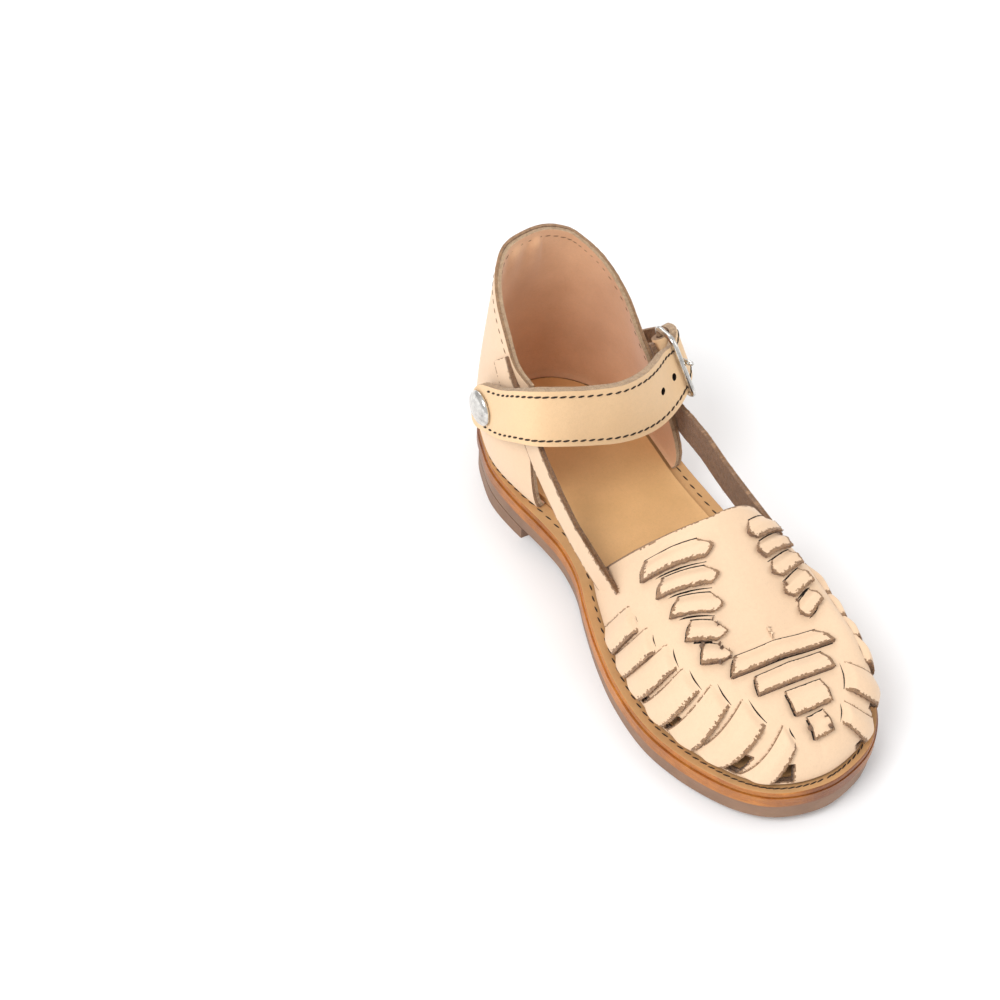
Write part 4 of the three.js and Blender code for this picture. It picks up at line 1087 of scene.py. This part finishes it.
# ---------------------------------------------------------------- back and side strips
def middle_line(side):
    points = []
    for kind, *rest in SIDE_STRIPS[side]:
        if kind == "back":
            points.append(back_point(rest[0], rest[1], STRIP_PROUD - STRIP_WALL / 2))
        elif kind == "vamp":
            points.append(vamp_point(side, rest[0], rest[1], -WALL))
        else:
            points.append(Vector((rest[0] * BALL_WIDTH, lengthwise(rest[1]),
                                  FOREPART_HEIGHT + INSTEP_HEIGHT * rest[2])))
    return even([tuple(p) for p in points])


def side_strip_place(side, width=SIDE_STRIP_WIDTH):
    table = middle_line(side)

    def middle(t):
        return Vector([column(table, 0, k, t) for k in (1, 2, 3)])

    def place(a, b, lift):
        ahead = (middle(min(a + 0.01, 1)) - middle(max(a - 0.01, 0))).normalized()
        face = (Vector((side, 0, 0)) - ahead * side * ahead.x).normalized()
        across = ahead.cross(face).normalized()
        return middle(a) + across * (b - 0.5) * width + face * (STRIP_WALL / 2 + lift)

    return place


def fold(place, level):
    """The pinch of the lining under the top of the back, in millimetres inward."""
    down = (0.97 - level) / 0.4
    if down <= 0 or down >= 1:
        return 0.0
    fade = smooth(down / 0.12) * (1 - smooth(down))
    deep = 1.7 * math.exp(-((place - 0.488 - 0.01 * down) / (0.01 + 0.028 * down)) ** 2)
    beside = 1.1 * math.exp(-((place - 0.438 + 0.012 * down) / (0.014 + 0.03 * down)) ** 2)
    return (deep + beside) * fade


class SANDAL_OT_back(bpy.types.Operator):
    bl_idname = "sandal.back"
    bl_label = "Back"
    bl_options = {"REGISTER", "UNDO"}
    # High back with its lining and side strips
    __doc__ = "High back with its lining, counter piece and side strips"

    def execute(self, context):
        m = MATERIALS
        bm = bmesh.new()
        grid(bm, 150, 44, lambda a, b, lift: back_point(a, b, lift), rough=0.12)
        outer = piece("back_outer", bm, [m["cream"], m["edge"], m["flesh"]], ["upper"])
        thicken(outer, 1.05, 0.3)
        bm = bmesh.new()
        grid(bm, 240, 60, lambda a, b, lift: back_point(a, b * 0.992, lift - 1.1 - fold(a, b)), rough=0.1)
        inner = piece("back_lining", bm, [m["lining"], m["pale"], m["lining"]], ["upper"])
        thicken(inner, 1.1, 0.25)
        for side, name in ((-1, "medial"), (1, "lateral")):
            bm = bmesh.new()
            place = side_strip_place(side)
            grid(bm, 120, 16, place, rough=0.3, raw=(0, 0, 0.04, 0.08))
            strip = piece(f"side_strip_{name}", bm, [m["cream"], m["edge"], m["flesh"]], ["upper"])
            thicken(strip, STRIP_WALL - 0.3, 0.2)
            fuzz = bmesh.new()
            for edge, start, stop, count, length in (
                (1.0, 0.0, 0.75, 620, 1.3), (0.0, 0.0, 0.7, 260, 0.8), (1.0, 0.0, 0.2, 520, 2.2),
            ):
                path, out, off = edge_of(place, None, edge, -0.6)
                fibres(fuzz, lambda t: path(start + (stop - start) * t), out, off, count, length, 0.9,
                       int(edge * 7 + count), 0.12)
            piece(f"side_strip_fringe_{name}", fuzz, [m["fibre"]])
        return {"FINISHED"}


# ---------------------------------------------------------------- ankle strap
def band_place(start, end, lift0, rounded, share=0.055, tip=0.2):
    def place(a, b, lift):
        near = min(a if rounded[0] else 1, 1 - a if rounded[1] else 1) / share
        full = math.sqrt(max(1 - (1 - near) ** 2, 0)) if near < 1 else 1
        reach = tip + (0.5 - tip) * full
        crown = 0.0
        return strap_point(start + (end - start) * a, 0.5 + (2 * b - 1) * reach, lift0 + lift + crown)

    return place


def bore(obj, cutters):
    """Cuts the cutters out of the piece and removes them."""
    for cutter in cutters:
        cut = obj.modifiers.new("bore", "BOOLEAN")
        cut.operation = "DIFFERENCE"
        cut.solver = "EXACT"
        # the hole walls take the cutter's dark material: painted shade inside the holes
        cut.material_mode = "TRANSFER"
        cut.object = cutter
    depsgraph = bpy.context.evaluated_depsgraph_get()
    mesh = bpy.data.meshes.new_from_object(obj.evaluated_get(depsgraph))
    obj.modifiers.clear()
    old = obj.data
    obj.data = mesh
    bpy.data.meshes.remove(old)
    for cutter in cutters:
        bpy.data.objects.remove(cutter, do_unlink=True)


def pin(place, radius, depth):
    """A round cutter square through the strap."""
    origin, out, up, ahead = facing(place, -STRAP_THICK / 2)
    bm = bmesh.new()
    made = bmesh.ops.create_cone(bm, cap_ends=True, segments=28, radius1=radius * MM, radius2=radius * MM,
                                 depth=depth * MM)["verts"]
    turn = Matrix((ahead, up, out)).transposed().to_4x4()
    turn.translation = at(origin)
    bmesh.ops.transform(bm, matrix=turn, verts=made)
    mesh = bpy.data.meshes.new("cutter")
    bm.to_mesh(mesh)
    bm.free()
    mesh.materials.append(MATERIALS["dark"])
    obj = bpy.data.objects.new("cutter", mesh)
    bpy.context.scene.collection.objects.link(obj)
    return obj


class SANDAL_OT_strap(bpy.types.Operator):
    bl_idname = "sandal.strap"
    bl_label = "Ankle strap"
    bl_options = {"REGISTER", "UNDO"}
    __doc__ = "Ankle strap with its holes, and the tab that holds the buckle"

    def execute(self, context):
        m = MATERIALS
        bm = bmesh.new()
        grid(bm, 220, 14, band_place(STRAP_FROM, TAIL_AT, 0, (True, True)))
        strap = piece("ankle_strap_band", bm, [m["strap"], m["pale"], m["flesh"]], ["ankle_strap"])
        thicken(strap, STRAP_THICK, 0.45, segments=3)
        # holes whose walls are painted dark as shade
        bore(strap, [pin(place, 1.15, 8) for place in HOLES_AT])

        bm = bmesh.new()
        start = BUCKLE_AT + (BUCKLE_REACH / 2 + 1.6) / STRAP_RUN
        grid(bm, 40, 10, band_place(start, 1, -STRAP_THICK - SEAM_GAP, (False, True), 0.12, 0.25))
        origin, out, up, ahead = facing(BUCKLE_AT + BUCKLE_REACH / 2 / STRAP_RUN, -STRAP_THICK - SEAM_GAP - 2.7)

        def loop(a, b, lift):
            turn = 2 * math.pi * a
            radius = 2.7 + lift
            return (origin + up * (b - 0.5) * 13 + ahead * radius * math.cos(turn) + out * radius * math.sin(turn))

        bm2 = bm
        grid(bm2, 40, 10, loop, wrap=True)
        tab = piece("buckle_tab_leather", bm2, [m["strap"], m["edge"], m["flesh"]], ["buckle_tab"])
        thicken(tab, 1.5, 0.25)
        return {"FINISHED"}


# ---------------------------------------------------------------- metal parts
def tube(bm, points, radius, sides=16, closed=False, taper=None):
    """A round wire through the points."""
    rings = []
    count = len(points)
    normal = None
    for i, p in enumerate(points):
        before = points[i - 1] if (i or closed) else p
        after = points[(i + 1) % count] if (i < count - 1 or closed) else p
        ahead = (after - before).normalized()
        if normal is None:
            normal = ahead.orthogonal().normalized()
        normal = (normal - ahead * normal.dot(ahead)).normalized()
        other = ahead.cross(normal)
        r = radius * (taper(i / (count - 1)) if taper else 1)
        ring = []
        for k in range(sides):
            turn = 2 * math.pi * k / sides
            ring.append(bm.verts.new(at(p + normal * math.cos(turn) * r + other * math.sin(turn) * r)))
        rings.append(ring)
    edges = []
    for ring in rings:
        for k in range(sides):
            edges.append(bm.edges.new((ring[k], ring[(k + 1) % sides])))
    pairs = list(zip(rings, rings[1:]))
    if closed:
        pairs.append((rings[-1], rings[0]))
    for one, two in pairs:
        shift = 0
        if one is rings[-1]:
            shift = min(range(sides), key=lambda n: (two[n].co - one[0].co).length)
        for k in range(sides):
            bm.faces.new((one[k], one[(k + 1) % sides], two[(k + 1 + shift) % sides], two[(k + shift) % sides]))
    if not closed:
        bm.faces.new(rings[0][::-1])
        bm.faces.new(rings[-1])
    bmesh.ops.recalc_face_normals(bm, faces=bm.faces)
    for f in bm.faces:
        f.smooth = True


class SANDAL_OT_hardware(bpy.types.Operator):
    bl_idname = "sandal.hardware"
    bl_label = "Buckle and snap"
    bl_options = {"REGISTER", "UNDO"}
    __doc__ = "Snap cap, buckle frame and prong"

    def execute(self, context):
        m = MATERIALS
        wire = 0.9
        loop_outer = wire + SEAM_GAP + 1.5
        front = facing(BUCKLE_AT - BUCKLE_REACH / 2 / STRAP_RUN, wire + SEAM_GAP)
        rear = facing(BUCKLE_AT + BUCKLE_REACH / 2 / STRAP_RUN, -STRAP_THICK - SEAM_GAP - loop_outer)
        corners = [bar[0] + bar[2] * k * BUCKLE_SPAN / 2 for bar, k in ((front, -1), (front, 1), (rear, 1), (rear, -1))]
        line = []
        for i, corner in enumerate(corners):
            before = corner + (corners[i - 1] - corner).normalized() * 2.6
            after = corner + (corners[(i + 1) % 4] - corner).normalized() * 2.6
            for k in range(9):
                t = k / 8
                line.append(before * (1 - t) ** 2 + corner * 2 * t * (1 - t) + after * t * t)
        bm = bmesh.new()
        tube(bm, line, wire, 18, closed=True)
        piece("buckle_frame_wire", bm, [m["metal"]], ["buckle_frame"])

        reach = front[0] - rear[0]
        square = (front[1] - reach * (front[1].dot(reach) / reach.length_squared)).normalized()
        over = front[0] + square * (wire + 0.8 + 2 * SEAM_GAP)
        course = over - rear[0]
        axis, length = course.normalized(), course.length + 1.8
        bm = bmesh.new()
        points = [rear[0] + axis * (wire + 0.75 + (length - wire - 0.75) * i / 14) for i in range(15)]
        tube(bm, points, 0.8, 14, taper=lambda t: 1 if t < 0.85 else math.sqrt(max(1 - ((t - 0.85) / 0.17) ** 2, 0.05)))
        ring = [rear[0] + (rear[1] * math.cos(t) + rear[3] * math.sin(t)) * (wire + SEAM_GAP + 0.45)
                for t in [2 * math.pi * k / 28 for k in range(28)]]
        tube(bm, ring, 0.62, 12, closed=True)
        piece("buckle_prong_wire", bm, [m["metal"]], ["buckle_prong"])

        bm = bmesh.new()
        origin, out, up, ahead = facing(SNAP_AT, 0)
        profile = [(0, 0.2), (5.1, 0.2), (5.5, 0.45), (5.5, 0.8), (5.3, 1.25), (4.75, 1.75), (3.9, 2.15),
                   (2.6, 2.5), (1.3, 2.65), (0, 2.7)]
        verts = [bm.verts.new((x * MM, 0, z * MM)) for x, z in profile]
        edges = [bm.edges.new(pair) for pair in zip(verts, verts[1:])]
        bmesh.ops.spin(bm, geom=verts + edges, cent=(0, 0, 0), axis=(0, 0, 1), angle=2 * math.pi, steps=56,
                       use_merge=True)
        bmesh.ops.remove_doubles(bm, verts=bm.verts, dist=0.005 * MM)
        bmesh.ops.recalc_face_normals(bm, faces=bm.faces)
        turn = Matrix((ahead, up, out)).transposed().to_4x4()
        turn.translation = at(origin)
        bmesh.ops.transform(bm, matrix=turn, verts=bm.verts)
        for f in bm.faces:
            f.smooth = True
        piece("snap_dome", bm, [m["metal"]], ["snap_cap"])
        return {"FINISHED"}


# ---------------------------------------------------------------- stitching
class SANDAL_OT_stitching(bpy.types.Operator):
    bl_idname = "sandal.stitching"
    bl_label = "Stitching"
    bl_options = {"REGISTER", "UNDO"}
    __doc__ = "Thread along the strap, the rim of the back and the welt"

    def execute(self, context):
        m = MATERIALS
        pitch = context.scene.sandal_sizes.stitch_pitch
        bm = bmesh.new()
        for level in (0.105, 0.895):
            def line(t, lift, level=level):
                return strap_point(0.075 + (TAIL_AT - 0.03 - 0.075) * t, level, lift + 0.02)
            stitches(bm, lambda t: line(t, 0), run_of(lambda t: line(t, 0)), pitch, path_out(line), (1.15, 0.34, 0.28))
        piece("strap_stitches", bm, [m["thread"]])

        bm = bmesh.new()
        for lift0 in (-2.2, 0.0):
            def rim(t, lift, lift0=lift0):
                place = 0.02 + 0.96 * t
                high = 1 - 3.4 / (BACK_HEIGHT * column(BACK_PLACES, 0, 4, place))
                sign = 1 if lift0 == 0 else -1
                return back_point(place, high, lift0 + sign * lift)
            stitches(bm, lambda t: rim(t, 0), run_of(lambda t: rim(t, 0)), pitch + 0.3, path_out(rim),
                     (0.95, 0.2, 0.16))
        piece("back_stitches", bm, [m["tan_thread"]])

        bm = bmesh.new()
        for side in (-1, 1):
            def seam(t, lift, side=side):
                angle = math.pi * (0.004 + 0.992 * t)
                p = inset_point(side, angle, welt_show(share_of(angle)) - 0.75)
                return Vector((p.x, p.y, welt_top(p.y) + 0.02 + lift))
            stitches(bm, lambda t: seam(t, 0), run_of(lambda t: seam(t, 0)), pitch + 0.2, path_out(seam),
                     (1.2, 0.24, 0.2))
        piece("welt_stitches", bm, [m["thread"]])
        return {"FINISHED"}


# ---------------------------------------------------------------- stage
class SANDAL_OT_stage(bpy.types.Operator):
    bl_idname = "sandal.stage"
    bl_label = "Stage"
    bl_options = {"REGISTER", "UNDO"}
    __doc__ = "Pale floor, soft lights and the camera"

    def execute(self, context):
        bm = bmesh.new()
        bmesh.ops.create_grid(bm, x_segments=2, y_segments=2, size=6)
        mesh = bpy.data.meshes.new("floor")
        bm.to_mesh(mesh)
        bm.free()
        floor = bpy.data.objects.new("floor", mesh)
        context.scene.collection.objects.link(floor)
        material, tree, shader = nodes_of("floor_white")
        shader.inputs["Base Color"].default_value = (0.92, 0.92, 0.925, 1)
        shader.inputs["Roughness"].default_value = 0.9
        shader.inputs["Specular IOR Level"].default_value = 0.1
        mesh.materials.append(material)

        world = bpy.data.worlds.new("studio")
        world.use_nodes = True
        world.node_tree.nodes["Background"].inputs[0].default_value = (1, 1, 1, 1)
        world.node_tree.nodes["Background"].inputs[1].default_value = 0.72
        context.scene.world = world
        context.scene.view_settings.view_transform = "Standard"
        for name, place, size, power in (
            ("key", (-0.9, -0.25, 1.1), 0.8, 12.0),
            ("fill", (0.9, -0.6, 0.9), 1.4, 4.0),
            ("rim", (0.3, 1.1, 0.9), 1.0, 4.0),
        ):
            data = bpy.data.lights.new(name, "AREA")
            data.shape = "DISK"
            data.size = size
            data.energy = power
            lamp = bpy.data.objects.new(name, data)
            lamp.location = place
            aim = Vector((0, 0, 0.03)) - Vector(place)
            lamp.rotation_euler = aim.to_track_quat("-Z", "Y").to_euler()
            context.scene.collection.objects.link(lamp)

        azimuth, elevation, roll = (math.radians(x) for x in (-30.77, 46.98, 2.65))
        back = Vector((math.sin(azimuth) * math.cos(elevation), -math.cos(azimuth) * math.cos(elevation),
                       math.sin(elevation)))
        right = Vector((math.cos(azimuth), math.sin(azimuth), 0))
        up = back.cross(right)
        x = right * math.cos(roll) + up * math.sin(roll)
        y = up * math.cos(roll) - right * math.sin(roll)
        data = bpy.data.cameras.new("camera")
        data.lens = 86.4
        data.sensor_width = 36
        camera = bpy.data.objects.new("camera", data)
        turn = Matrix((x, y, back)).transposed().to_4x4()
        turn.translation = at(Vector((-34.05, 36.8, 25.0)) + back * 702.68)
        camera.matrix_world = turn
        context.scene.collection.objects.link(camera)
        context.scene.camera = camera
        return {"FINISHED"}


# ---------------------------------------------------------------- panel and registration
OPERATORS = (
    SANDAL_OT_stage,
    SANDAL_OT_sole,
    SANDAL_OT_vamp,
    SANDAL_OT_weave,
    SANDAL_OT_back,
    SANDAL_OT_strap,
    SANDAL_OT_hardware,
    SANDAL_OT_stitching,
)


class SANDAL_PT_panel(bpy.types.Panel):
    bl_idname = "SANDAL_PT_panel"
    bl_label = "Sandal"
    bl_space_type = "VIEW_3D"
    bl_region_type = "UI"
    bl_category = "Sandal"

    def draw(self, context):
        for operator in OPERATORS:
            self.layout.operator(operator.bl_idname)
        for group in (context.scene.sandal_sizes, context.scene.sandal_colours):
            for key in group.__annotations__:
                self.layout.prop(group, key)


CLASSES = (SandalSizes, SandalColours, *OPERATORS, SANDAL_PT_panel)


def register():
    for cls in CLASSES:
        bpy.utils.register_class(cls)
    bpy.types.Scene.sandal_sizes = bpy.props.PointerProperty(type=SandalSizes)
    bpy.types.Scene.sandal_colours = bpy.props.PointerProperty(type=SandalColours)


def unregister():
    del bpy.types.Scene.sandal_colours
    del bpy.types.Scene.sandal_sizes
    for cls in reversed(CLASSES):
        bpy.utils.unregister_class(cls)


def main():
    register()
    make_materials(bpy.context.scene.sandal_colours)
    for operator in OPERATORS:
        group, name = operator.bl_idname.split(".")
        getattr(getattr(bpy.ops, group), name)()


if __name__ == "__main__":
    main()
